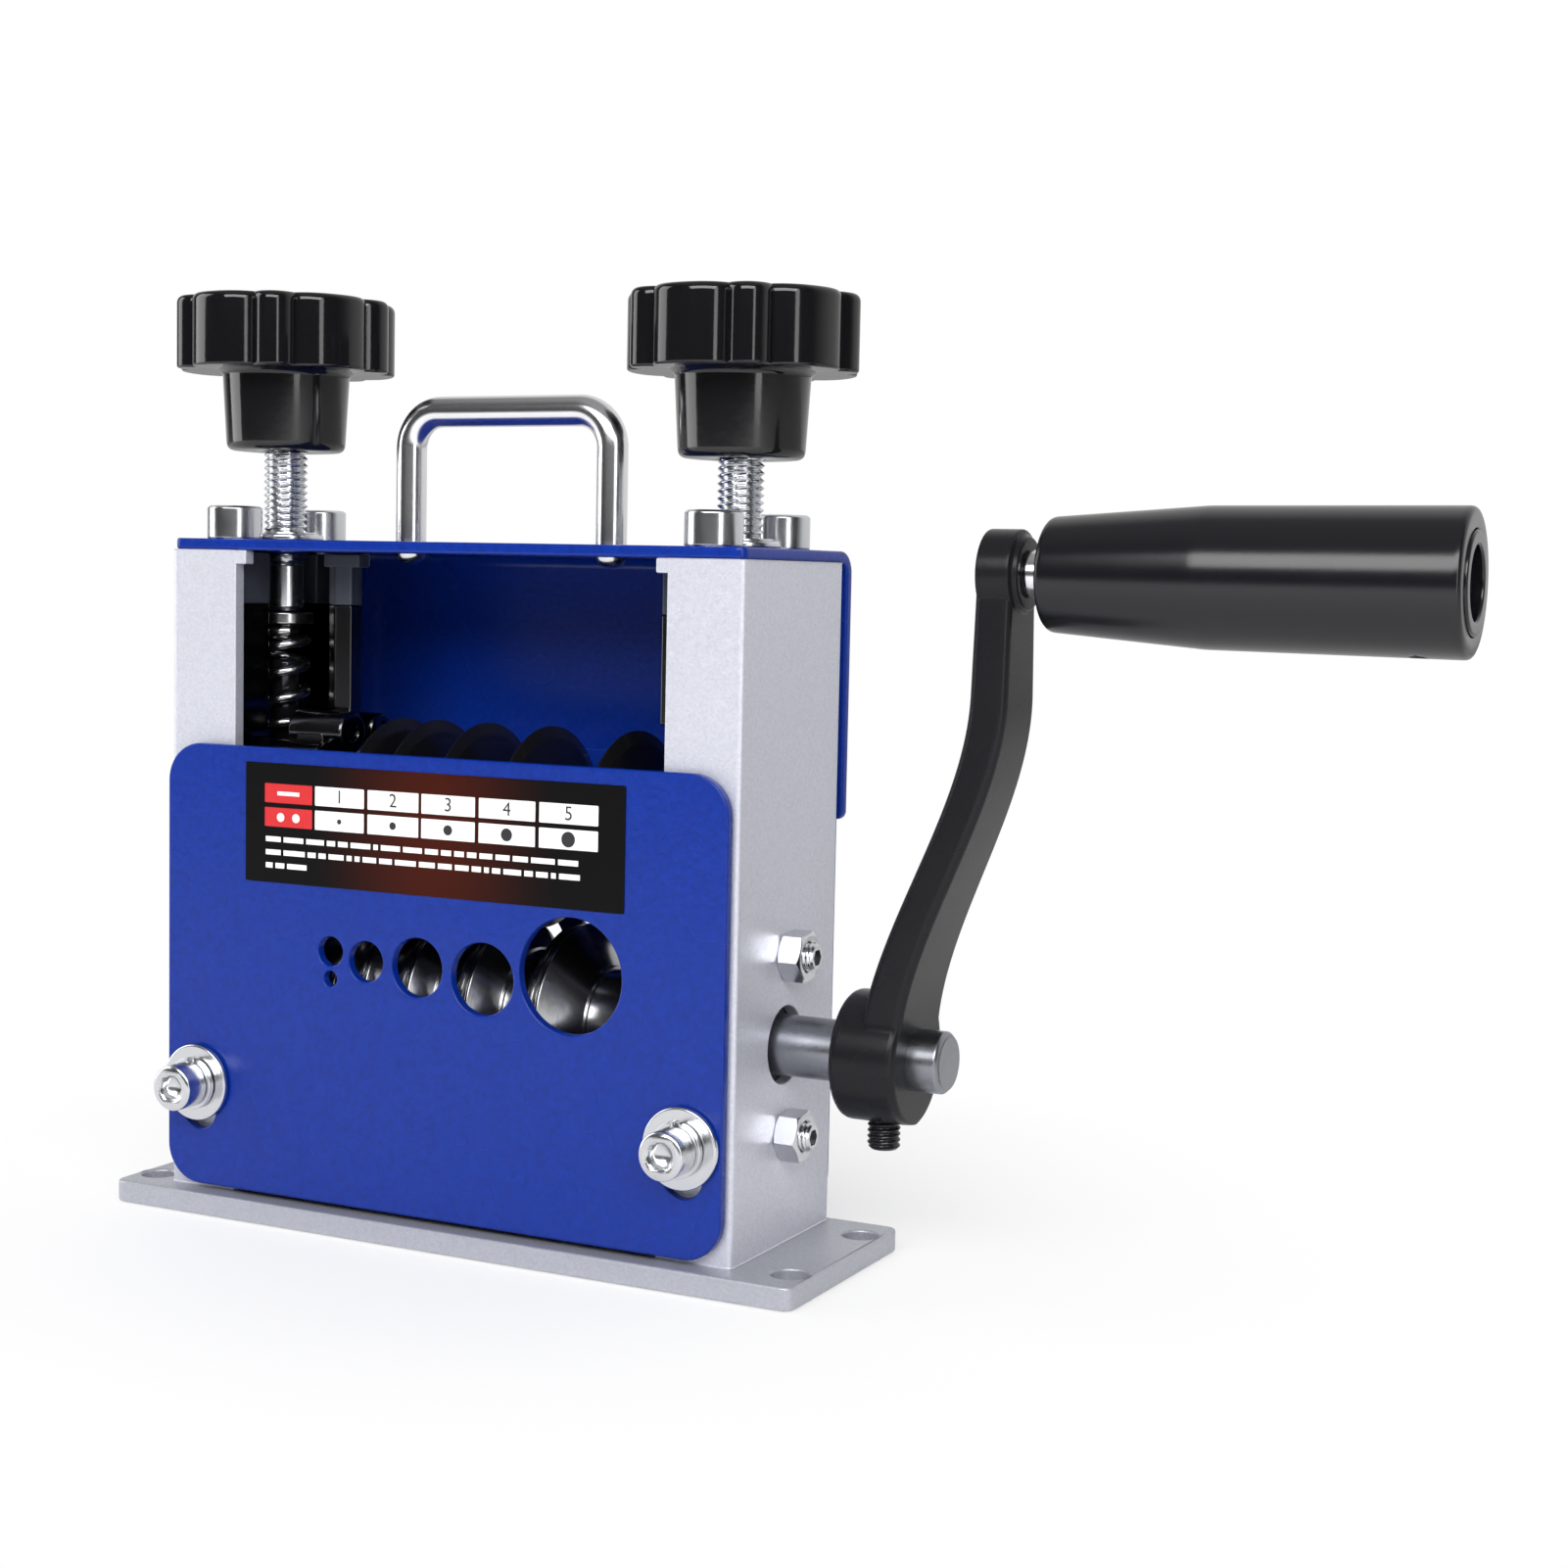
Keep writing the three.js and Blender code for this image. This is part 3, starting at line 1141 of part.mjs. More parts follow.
// The crank arm: a hub, an arm that bends outwards in an S and a boss for the grip's spindle.
function crankArm() {
  const rings = [];
  const top = CRANK_TOP_Z;
  const bottom = FEED_SHAFT_Z;
  for (let i = 0; i <= ARM_STEPS; i++) {
    const share = i / ARM_STEPS;
    const z = bottom + share * (top - bottom);
    const shift = THREE.MathUtils.smoothstep(z, ARM_BEND_LOW_Z, ARM_BEND_TOP_Z) * ARM_OFFSET;
    const thickness = THREE.MathUtils.lerp(ARM_LOW_THICKNESS, ARM_TOP_THICKNESS, share);
    const half = THREE.MathUtils.lerp(ARM_LOW_WIDTH, ARM_TOP_WIDTH, share) / 2;
    const outer = HUB_OUTER_X + shift;
    const inner = outer - thickness;
    const corners = [
      [outer - ARM_EDGE, -half],
      [outer, -half + ARM_EDGE],
      [outer, half - ARM_EDGE],
      [outer - ARM_EDGE, half],
      [inner + ARM_EDGE, half],
      [inner, half - ARM_EDGE],
      [inner, -half + ARM_EDGE],
      [inner + ARM_EDGE, -half],
    ];
    rings.push(corners.map(([x, y]) => new THREE.Vector3(x, y, z)));
  }
  const bossInner = HUB_OUTER_X + ARM_OFFSET - ARM_TOP_THICKNESS;
  const joined = [
    loft(rings),
    bar("x", CRANK_HUB_RADIUS * 2, HUB_INNER_X, HUB_OUTER_X, [0, 0, FEED_SHAFT_Z], LARGE_SIDES),
    bar("x", BOSS_DIAMETER, bossInner, BOSS_OUTER_X, [0, 0, CRANK_TOP_Z]),
  ];
  const shaftBore = bar(
    "x",
    FEED_SHAFT_DIAMETER + SHAFT_CLEARANCE,
    HUB_INNER_X - CUT_OVERRUN,
    HUB_OUTER_X + CUT_OVERRUN,
    [0, 0, FEED_SHAFT_Z],
  );
  const spindleBore = bar(
    "x",
    SPINDLE_DIAMETER + SCREW_CLEARANCE,
    bossInner + CUT_OVERRUN,
    BOSS_OUTER_X + CUT_OVERRUN,
    [0, 0, CRANK_TOP_Z],
  );
  const screwBore = bar(
    "z",
    SET_SCREW_DIAMETER + SCREW_CLEARANCE,
    FEED_SHAFT_Z - CRANK_HUB_RADIUS - CUT_OVERRUN,
    FEED_SHAFT_Z,
    [HUB_INNER_X + SET_SCREW_INSET, 0, 0],
  );
  return piece("crank_arm", shaped(joined, [shaftBore, spindleBore, screwBore]), BLACK_CASTING);
}

function crankSetScrew() {
  const top = FEED_SHAFT_Z - FEED_SHAFT_DIAMETER / 2 - FACE_GAP;
  const bottom = FEED_SHAFT_Z - CRANK_HUB_RADIUS - SET_SCREW_STICKOUT;
  const centre = [HUB_INNER_X + SET_SCREW_INSET, 0, 0];
  const body = bar("z", SET_SCREW_DIAMETER, bottom, top, centre, SMALL_SIDES);
  const socketTop = bottom + STUD_SOCKET_DEPTH;
  const socket = hexBar("z", STUD_SOCKET, bottom - CUT_OVERRUN, socketTop, centre);
  return piece("crank_set_screw", shaped([body], [socket]), BLACK_STEEL);
}

function gripSpacer() {
  const from = BOSS_OUTER_X + FACE_GAP;
  const bore = SPINDLE_DIAMETER + SCREW_CLEARANCE;
  const centre = [0, 0, CRANK_TOP_Z];
  const ring = ringAlong("x", SPACER_DIAMETER, bore, from, from + SPACER_LENGTH, centre);
  return piece("grip_spacer", ring, ZINC);
}

// The shoulder screw that the grip turns on, its head in the recess of the grip's end.
function gripSpindle() {
  const start = HUB_OUTER_X + ARM_OFFSET - ARM_TOP_THICKNESS + CUT_OVERRUN + FACE_GAP;
  const headStart = GRIP_END_X - GRIP_RECESS_DEPTH + FACE_GAP;
  const headEnd = headStart + SPINDLE_HEAD_LENGTH;
  const centre = [0, 0, CRANK_TOP_Z];
  const shank = bar("x", SPINDLE_DIAMETER, start, headStart + SPINDLE_HEAD_LENGTH / 2, centre, SMALL_SIDES);
  const head = bar("x", SPINDLE_HEAD_DIAMETER, headStart, headEnd, centre);
  const socketFrom = headEnd - STUD_SOCKET_DEPTH;
  const socket = hexBar("x", SPINDLE_HEAD_SOCKET, socketFrom, headEnd + CUT_OVERRUN, centre);
  return piece("grip_spindle", shaped([shank, head], [socket]), ZINC);
}

function crankGrip() {
  const start = GRIP_START_DIAMETER / 2;
  const wide = GRIP_BREAK_DIAMETER / 2;
  const end = GRIP_END_DIAMETER / 2;
  const bore = (SPINDLE_DIAMETER + SHAFT_CLEARANCE) / 2;
  const recess = GRIP_RECESS_DIAMETER / 2;
  const seat = (END_CAP_DIAMETER + SCREW_CLEARANCE) / 2;
  const seatDepth = END_CAP_THICKNESS - END_CAP_PROUD + FACE_GAP;
  const profile = [
    [bore, 0],
    [start - GRIP_EDGE, 0],
    [start, GRIP_EDGE],
    [wide, GRIP_TAPER_LENGTH],
    [end, GRIP_LENGTH - GRIP_EDGE],
    [end - GRIP_EDGE, GRIP_LENGTH],
    [seat, GRIP_LENGTH],
    [seat, GRIP_LENGTH - seatDepth],
    [recess, GRIP_LENGTH - seatDepth],
    [recess, GRIP_LENGTH - GRIP_RECESS_DEPTH],
    [bore, GRIP_LENGTH - GRIP_RECESS_DEPTH],
    [bore, 0],
  ];
  const body = turned("x", profile, [0, 0, 0], LARGE_SIDES);
  const holeX = GRIP_LENGTH - PIN_HOLE_FROM_END;
  const hole = bar(
    "y",
    PIN_HOLE_DIAMETER,
    -end - CUT_OVERRUN,
    -end + PIN_HOLE_DEPTH,
    [holeX, 0, 0],
    SMALL_SIDES,
  );
  const mesh = piece("crank_grip", shaped([body], [hole]), BLACK_PLASTIC);
  mesh.position.set(GRIP_START_X, 0, CRANK_TOP_Z);
  return mesh;
}

function gripEndCap() {
  const to = GRIP_END_X + END_CAP_PROUD;
  const from = to - END_CAP_THICKNESS;
  const centre = [0, 0, CRANK_TOP_Z];
  const ring = ringAlong("x", END_CAP_DIAMETER, GRIP_RECESS_DIAMETER, from, to, centre);
  return piece("grip_end_cap", ring, BLACK_PLASTIC);
}

// Pieces that are alike on both sides but for the guide's reach stand in a group per side.
function sideGroup(label, side) {
  const group = new THREE.Group();
  const slotEnd = GUIDE_SLOT_END_U[label];
  group.position.x = side * PILLAR_X;
  group.scale.x = -side;
  group.add(
    pillar(`${label}_pillar`),
    nutBlock(`${label}_nut_block`, slotEnd),
    guideFrame(`${label}_guide_frame`, slotEnd),
    lowerBearing(`${label}_lower_bearing`),
    upperBearing(`${label}_upper_bearing`),
  );
  return group;
}

// Everything that stands on the base plate.
function machine() {
  const group = new THREE.Group();
  group.position.set(MACHINE_SHIFT_X, MACHINE_SHIFT_Y, 0);
  const sides = { left: -1, right: 1 };
  const ends = { front: -1, rear: 1 };
  const heights = { lower: -1, upper: 1 };
  for (const [label, side] of Object.entries(sides)) {
    const knobLow = COVER_TOP_Z + KNOB_RISE[label];
    group.add(sideGroup(label, side));
    for (const [place, end] of Object.entries(ends)) {
      group.add(coverScrew(`${label}_${place}_cover_screw`, side, end));
    }
    for (const [place, end] of Object.entries(heights)) {
      group.add(bearingStud(`${label}_${place}_stud`, side, end));
      group.add(studNut(`${label}_${place}_nut`, side, end));
    }
    group.add(
      frontScrew(`${label}_guard_screw`, side),
      frontWasher(`${label}_guard_washer`, side),
      rearScrew(`${label}_rear_screw`, side),
      handleScrew(`${label}_handle_screw`, side),
      rodWasher(`${label}_rod_washer`, side),
      threadedRod(`${label}_threaded_rod`, side, knobLow),
      knob(`${label}_knob`, side, knobLow),
      thrustPad(`${label}_thrust_pad`, side),
      spring(`${label}_spring`, side),
    );
  }
  CHANNELS.forEach((channel, index) => group.add(blade(index)));
  group.add(
    topCover(),
    frontGuard(),
    rearGuard(),
    carryHandle(),
    feedShaft(),
    feedRoller(),
    bladeShaft(),
    bladeLockNut(),
    crankArm(),
    crankSetScrew(),
    gripSpacer(),
    gripSpindle(),
    crankGrip(),
    gripEndCap(),
  );
  return group;
}

const wireStripper = new THREE.Group();
wireStripper.add(basePlate(), machine());

export default wireStripper;
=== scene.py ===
"""Hand crank wire stripper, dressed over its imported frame.

Sizes in the classes are millimetres in the frame of the part: +Z up, +X towards the crank, the
feed holes facing -Y. Points become metres only when a mesh is made. Most pieces stand on the
pillars' own middle, two millimetres off the middle of the base plate in X and in Y.
"""

import logging
import math
from dataclasses import dataclass, field
from enum import Enum
from typing import Callable, Iterable, Sequence

import bpy
import bmesh
import numpy as np
from mathutils import Matrix, Vector
from mathutils.geometry import tessellate_polygon


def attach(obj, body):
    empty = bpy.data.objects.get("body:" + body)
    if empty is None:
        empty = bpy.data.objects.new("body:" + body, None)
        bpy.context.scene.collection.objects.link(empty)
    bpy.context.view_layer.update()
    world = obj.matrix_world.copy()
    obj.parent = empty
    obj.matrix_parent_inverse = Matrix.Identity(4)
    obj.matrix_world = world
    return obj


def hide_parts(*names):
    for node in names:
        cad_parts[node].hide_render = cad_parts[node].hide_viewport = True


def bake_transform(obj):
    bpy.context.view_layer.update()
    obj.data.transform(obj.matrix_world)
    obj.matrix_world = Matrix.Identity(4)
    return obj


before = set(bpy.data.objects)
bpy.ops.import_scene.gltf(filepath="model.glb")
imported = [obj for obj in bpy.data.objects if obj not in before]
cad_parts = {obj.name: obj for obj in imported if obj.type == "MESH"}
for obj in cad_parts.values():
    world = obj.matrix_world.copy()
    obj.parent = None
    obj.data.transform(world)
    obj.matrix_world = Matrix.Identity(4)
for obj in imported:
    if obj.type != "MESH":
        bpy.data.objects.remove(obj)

Array = np.ndarray
Tree = bpy.types.NodeTree
Socket = bpy.types.NodeSocket
Outputs = bpy.types.NodeOutputs
Material = bpy.types.Material
Piece = bpy.types.Object
METRES = 0.001
FULL_TURN = 2 * math.pi
MACHINE = np.array([-2.0, 2.0, 0.0])
BASE = np.zeros(3)
PILLAR_X = 58.5
CREASE = math.radians(32)
SHARPEST_MITRE = 0.3
LOG = logging.getLogger("wire_stripper")


class Axis(Enum):
    """The axis that a turned or extruded shape runs along."""

    X = "x"
    Y = "y"
    Z = "z"

    def lay(self, first: Array, second: Array, along: Array) -> Array:
        """Stacks two cross coordinates and one along the axis into points.

        Args:
            first: first cross coordinate: Y for X, X for Y and Z.
            second: second cross coordinate: Z for X and Y, Y for Z.
            along: coordinate along the axis.

        Returns:
            Points with a last dimension of three.
        """
        order = {
            Axis.X: (along, first, second),
            Axis.Y: (first, along, second),
            Axis.Z: (first, second, along),
        }[self]
        return np.stack(np.broadcast_arrays(*order), axis=-1).astype(float)


class Side(Enum):
    """Left or right pillar; the value is the sign of X."""

    LEFT = -1
    RIGHT = 1

    @property
    def label(self) -> str:
        """The side's word in node names."""
        return self.name.lower()

    def inward(self, points: Array) -> Array:
        """Mirrors points whose X counts inwards from the pillar's outer face into their place.

        Args:
            points: points, the last dimension being three.

        Returns:
            The placed points.
        """
        placed = np.array(points, float)
        placed[..., 0] = self.value * (PILLAR_X - placed[..., 0])
        return placed


class Shading(Enum):
    """How a mesh's normals are set."""

    ROUNDED = "area weighted"
    CREASED = "split at sharp edges"
    PLAIN = "plain smooth"


def angles(count: int, start: float = 0.0) -> Array:
    """Evenly spaced angles round a full turn."""
    return start + np.arange(count) / count * FULL_TURN


def circle(x: float, y: float, radius: float, count: int = 64, start: float = 0.0) -> Array:
    """A circle's points, counter-clockwise."""
    turn = angles(count, start)
    return np.stack([x + radius * np.cos(turn), y + radius * np.sin(turn)], axis=-1)


def hexagon(x: float, y: float, flats: float, start: float = 0.0) -> Array:
    """A hexagon's corners from its width across flats."""
    return circle(x, y, flats / math.sqrt(3), 6, start)


def rectangle(left: float, right: float, low: float, high: float) -> Array:
    """A rectangle's corners, counter-clockwise."""
    return np.array([[left, low], [right, low], [right, high], [left, high]], float)


def softened(
    points: Sequence, radius: float | Sequence[float], steps: int = 4, closed: bool = True
) -> Array:
    """Rounds the corners of a line of points.

    Each corner P gives way to the curve (1-t)^2 A + 2t(1-t) P + t^2 B, where A and B lie on its
    two sides at the corner's radius, or at nearly half a side that is shorter.

    Args:
        points: corners, shape (n, 2).
        radius: one radius, or one per corner.
        steps: segments per corner.
        closed: False keeps the first and last points where they are.

    Returns:
        The rounded line's points.
    """
    points = np.asarray(points, float)
    radii = np.broadcast_to(np.asarray(radius, float), (len(points),)).copy()
    if not closed:
        radii[[0, -1]] = 0.0
    before = np.roll(points, 1, axis=0) - points
    after = np.roll(points, -1, axis=0) - points
    before_length = np.linalg.norm(before, axis=1)
    after_length = np.linalg.norm(after, axis=1)
    if not closed:
        before_length[0] = after_length[-1] = 1.0
    cut_before = np.minimum(radii, before_length * 0.49)
    cut_after = np.minimum(radii, after_length * 0.49)
    start = points + before / before_length[:, None] * cut_before[:, None]
    stop = points + after / after_length[:, None] * cut_after[:, None]
    t = np.linspace(0, 1, steps + 1)[None, :, None]
    ends = (1 - t) ** 2 * start[:, None] + t**2 * stop[:, None]
    line = (ends + 2 * t * (1 - t) * points[:, None]).reshape(-1, 2)
    apart = np.linalg.norm(np.diff(line, axis=0, prepend=line[:1] - 1.0), axis=1) > 1e-5
    return line[apart]


def offset(loop: Array, amount: float) -> Array:
    """Moves a closed loop to its left, mitred at its corners.

    Each corner moves by the sum of its two sides' left normals, times the amount over one plus
    the normals' product.

    Args:
        loop: points, shape (n, 2).
        amount: how far the sides move.

    Returns:
        The moved loop.
    """
    edge = np.roll(loop, -1, axis=0) - loop
    edge /= np.linalg.norm(edge, axis=1)[:, None]
    left = np.stack([-edge[:, 1], edge[:, 0]], axis=-1)
    before = np.roll(left, 1, axis=0)
    share = 1 + np.sum(left * before, axis=1)
    return loop + amount * (left + before) / np.maximum(share, SHARPEST_MITRE)[:, None]


def edge_levels(low: float, high: float, edge: float, steps: int = 3) -> tuple[Array, Array]:
    """Heights and insets of a wall whose two edges are rounded as quarter circles.

    Args:
        low: height of the lower face.
        high: height of the upper face.
        edge: radius of both edges.
        steps: segments per edge.

    Returns:
        Heights, and how far the wall stands inside its outline at each.
    """
    turn = np.linspace(0, math.pi / 2, steps + 1)
    inset = edge * (1 - np.sin(turn))
    rise = edge * (1 - np.cos(turn))
    return np.concatenate([low + rise, high - rise[::-1]]), np.concatenate([inset, inset[::-1]])


def stacked(axis: Axis, loop: Array, places: Sequence[float]) -> Array:
    """Repeats a flat loop at places along an axis, one row for each."""
    return axis.lay(loop[:, 0], loop[:, 1], np.reshape(places, (-1, 1)))


class Shell:
    """Skins in millimetres, gathered patch by patch and joined where their points meet."""

    def __init__(self) -> None:
        """Starts with no points."""
        self._points: list[Array] = []
        self._faces: list[list[int]] = []
        self._slots: list[int] = []
        self._count = 0

    def _keep(self, points: Array, faces: list[list[int]], slot: int) -> "Shell":
        """Stores a patch.

        Args:
            points: the patch's points.
            faces: its faces, counted from its own first point.
            slot: material slot.

        Returns:
            This shell.
        """
        flat = points.reshape(-1, 3)
        self._points.append(flat)
        self._faces.extend([[index + self._count for index in face] for face in faces])
        self._slots.extend([slot] * len(faces))
        self._count += len(flat)
        return self

    def grid(self, rows: Array, skip: Iterable[int] = (), slot: int = 0) -> "Shell":
        """Joins neighbouring rows of points, and the last column to the first, with faces.

        Args:
            rows: points, shape (rows, columns, 3).
            skip: columns that stay open.
            slot: material slot of the faces.

        Returns:
            This shell.
        """
        index = np.arange(rows.shape[0] * rows.shape[1]).reshape(rows.shape[:2])
        right = np.roll(index, -1, axis=1)
        columns = np.setdiff1d(np.arange(rows.shape[1]), list(skip))
        quads = np.stack([index[:-1], right[:-1], right[1:], index[1:]], axis=-1)[:, columns]
        return self._keep(rows, quads.reshape(-1, 4).tolist(), slot)

    def face(self, loop: Array) -> "Shell":
        """Closes one flat loop with a single face."""
        return self._keep(loop, [list(range(len(loop)))], 0)

    def flat(self, loops: Sequence[Array], slot: int = 0) -> "Shell":
        """Fills a flat loop that has holes, the outer loop first."""
        triangles = tessellate_polygon([[Vector(point) for point in loop] for loop in loops])
        return self._keep(np.concatenate(loops), [list(face) for face in triangles], slot)

    def loft(self, rings: Array) -> "Shell":
        """Joins closed rings and closes both ends."""
        return self.grid(rings).face(rings[0]).face(rings[-1])

    def turned(
        self, profile: Array, axis: Axis = Axis.Z, centre: Sequence[float] = (0, 0, 0),
        steps: int = 64, hollow: bool = False, open_end: bool = False,
    ) -> "Shell":
        """Turns a profile round an axis: radius times cosine and sine across, place along.

        Args:
            profile: [radius, place] pairs.
            axis: the axis that the shape runs along.
            centre: added to every point.
            steps: points round the axis.
            hollow: joins the profile's end to its start, which leaves a bore.
            open_end: leaves the last ring open.

        Returns:
            This shell.
        """
        profile = np.asarray(profile, float)
        turn = angles(steps)[None]
        radius, place = profile[:, :1], profile[:, 1:]
        rows = axis.lay(radius * np.cos(turn), radius * np.sin(turn), place) + np.asarray(centre)
        if hollow:
            return self.grid(np.concatenate([rows, rows[:1]]))
        self.grid(rows).face(rows[0])
        return self if open_end else self.face(rows[-1])

    def washer(
        self, axis: Axis, centre: Sequence[float], across: tuple[float, float],
        span: tuple[float, float], edge: float,
    ) -> "Shell":
        """Adds a flat ring with rounded edges.

        Args:
            axis: the axis that it goes round.
            centre: added to every point.
            across: outer diameter and bore.
            span: its two faces' places along the axis.
            edge: radius of its edges.

        Returns:
            This shell.
        """
        (outer, bore), (low, high) = across, span
        section = rectangle(bore / 2, outer / 2, low, high)
        return self.turned(softened(section, edge, 4), axis, centre, hollow=True)

    def socket(self, rim: Array, walls: Array) -> "Shell":
        """Closes a rim by a face with a socket in it, given as its mouth's and floor's loops."""
        return self.flat([rim, walls[0]]).grid(walls).face(walls[1])

    def prism(
        self, loops: Sequence[Array], low: float, high: float, edge: float, axis: Axis = Axis.Z,
        slot: int = 0,
    ) -> "Shell":
        """Extrudes an outline with holes and rounds the edges of both faces.

        Args:
            loops: the outline counter-clockwise, then its holes clockwise.
            low: place of the first face along the axis.
            high: place of the second face.
            edge: radius of the edges.
            axis: direction of the extrusion.
            slot: material slot.

        Returns:
            This shell.
        """
        heights, insets = edge_levels(low, high, edge)
        faces: list[list[Array]] = [[], []]
        for loop in loops:
            moved = np.stack([offset(loop, inset) for inset in insets])
            rows = axis.lay(moved[..., 0], moved[..., 1], heights[:, None])
            self.grid(rows, slot=slot)
            faces[0].append(rows[0])
            faces[1].append(rows[-1])
        return self.flat(faces[0], slot).flat(faces[1], slot)

    def box(self, low: Sequence[float], high: Sequence[float], edge: float = 0.4) -> "Shell":
        """A block between two corners with all its edges rounded."""
        outline = softened(rectangle(low[0], high[0], low[1], high[1]), edge * 1.2, 3)
        return self.prism([outline], low[2], high[2], edge)

    def pipe(self, path: Array, side: Array, radius: float, around: int = 24) -> "Shell":
        """Carries a circle along a path.

        The circle lies in the plane of the side vectors and of the path's tangent crossed with
        them, so it is not twisted.

        Args:
            path: points, shape (n, 3).
            side: a vector square to the path, or one per point.
            radius: radius of the pipe.
            around: points round the circle.

        Returns:
            This shell.
        """
        tangent = np.gradient(path, axis=0)
        tangent /= np.linalg.norm(tangent, axis=1)[:, None]
        side = np.broadcast_to(side, path.shape)
        side = side - np.sum(side * tangent, axis=1)[:, None] * tangent
        side /= np.linalg.norm(side, axis=1)[:, None]
        up = np.cross(tangent, side)
        turn = angles(around)[None, :, None]
        ring = side[:, None] * np.cos(turn) + up[:, None] * np.sin(turn)
        return self.loft(path[:, None] + radius * ring)

    def moved(self, shift: Sequence[float]) -> "Shell":
        """Adds a shift to every point gathered so far."""
        self._points = [points + np.asarray(shift) for points in self._points]
        return self

    def mapped(self, change: Callable[[Array], Array]) -> "Shell":
        """Runs every point gathered so far through a function of an array of points."""
        self._points = [change(points) for points in self._points]
        return self

    def mesh(self, name: str) -> bpy.types.Mesh:
        """Joins the patches, turns their faces outwards and makes the mesh in metres.

        Args:
            name: the mesh's name.

        Returns:
            The new mesh.
        """
        points = np.concatenate(self._points)
        _, first, number = np.unique(
            np.round(points, 4), axis=0, return_index=True, return_inverse=True
        )
        number = number.reshape(-1)
        faces = [list(dict.fromkeys(number[face].tolist())) for face in self._faces]
        kept = [i for i, face in enumerate(faces) if len(face) > 2]
        mesh = bpy.data.meshes.new(name)
        mesh.from_pydata((points[first] * METRES).tolist(), [], [faces[i] for i in kept])
        mesh.polygons.foreach_set("material_index", [self._slots[i] for i in kept])
        work = bmesh.new()
        work.from_mesh(mesh)
        bmesh.ops.recalc_face_normals(work, faces=work.faces)
        work.to_mesh(mesh)
        work.free()
        return mesh


def weigh_normals(mesh: bpy.types.Mesh) -> None:
    """Gives each point the sum of its faces' normals times their areas, so flat faces stay flat.

    Args:
        mesh: the mesh that gets the normals.
    """
    count = len(mesh.polygons)
    normals, areas, corners = np.empty(count * 3), np.empty(count), np.empty(count, int)
    vertices = np.empty(len(mesh.loops), int)
    mesh.polygons.foreach_get("normal", normals)
    mesh.polygons.foreach_get("area", areas)
    mesh.polygons.foreach_get("loop_total", corners)
    mesh.loops.foreach_get("vertex_index", vertices)
    weighted = (normals.reshape(-1, 3) * areas[:, None])[np.repeat(np.arange(count), corners)]
    total = np.zeros((len(mesh.vertices), 3))
    np.add.at(total, vertices, weighted)
    total /= np.maximum(np.linalg.norm(total, axis=1), 1e-12)[:, None]
    mesh.normals_split_custom_set_from_vertices(total.tolist())


def thread(
    radius: float, depth: float, pitch: float, low: float, high: float, around: int = 40
) -> Array:
    """Rings of a screw thread along Z.

    The radius at height z and angle a is the outer radius less the depth times a wave that goes
    from 0 on the crest to 1 in the root as z over the pitch, less a over a turn, goes up by one.

    Args:
        radius: outer radius.
        depth: how deep the root lies.
        pitch: rise per turn.
        low: lower end.
        high: upper end.
        around: points round the axis.

    Returns:
        Points, shape (rings, around, 3).
    """
    z = np.linspace(low, high, int((high - low) / pitch * 10) + 2)[:, None]
    turn = angles(around)[None]
    wave = np.abs(2 * np.mod(z / pitch - turn / FULL_TURN, 1.0) - 1)
    root = np.clip(wave * 1.25 - 0.12, 0, 1)
    r = radius - depth * root
    return Axis.Z.lay(r * np.cos(turn), r * np.sin(turn), z)


def feed(tree: Tree, node: bpy.types.Node, inputs: dict) -> None:
    """Gives a node's inputs their values or links.

    Args:
        tree: the node's tree.
        node: the node.
        inputs: by name or number, a socket to link from or a plain value.
    """
    for key, value in inputs.items():
        if isinstance(value, Socket):
            tree.links.new(value, node.inputs[key])
        else:
            node.inputs[key].default_value = value


def add_node(tree: Tree, kind: str, inputs: dict | None = None, **options: object) -> Outputs:
    """Adds a shader node.

    Args:
        tree: tree that it is added to.
        kind: its type, without the word that all shader nodes start with.
        inputs: values or links of its inputs.
        options: its own settings.

    Returns:
        The node's outputs.
    """
    node = tree.nodes.new(f"ShaderNode{kind}")
    for name, value in options.items():
        setattr(node, name, value)
    feed(tree, node, inputs or {})
    return node.outputs


def smooth_step(
    tree: Tree, value: Socket, span: tuple[float, float], result: tuple[float, float]
) -> Socket:
    """Goes smoothly from one result to the other while a value crosses a span.

    Args:
        tree: tree that the node is added to.
        value: socket of the value.
        span: the values where the step begins and ends.
        result: what comes out before and after the step.

    Returns:
        The socket of the result.
    """
    (start, stop), (before, after) = span, result
    inputs = {
        "Value": value, "From Min": start, "From Max": stop, "To Min": before, "To Max": after,
    }
    return add_node(tree, "MapRange", inputs, interpolation_type="SMOOTHSTEP")["Result"]


def new_material(name: str) -> tuple[Material, Tree, bpy.types.Node]:
    """Makes a material.

    Args:
        name: its name.

    Returns:
        The material, its tree and its shader.
    """
    material = bpy.data.materials.new(name)
    material.use_nodes = True
    return material, material.node_tree, material.node_tree.nodes["Principled BSDF"]


class Pattern(Enum):
    """What a finish's surface pattern is made of."""

    GRAIN = "surface grain"
    FLAKE = "metal flake"
    TURNED = "turning marks"


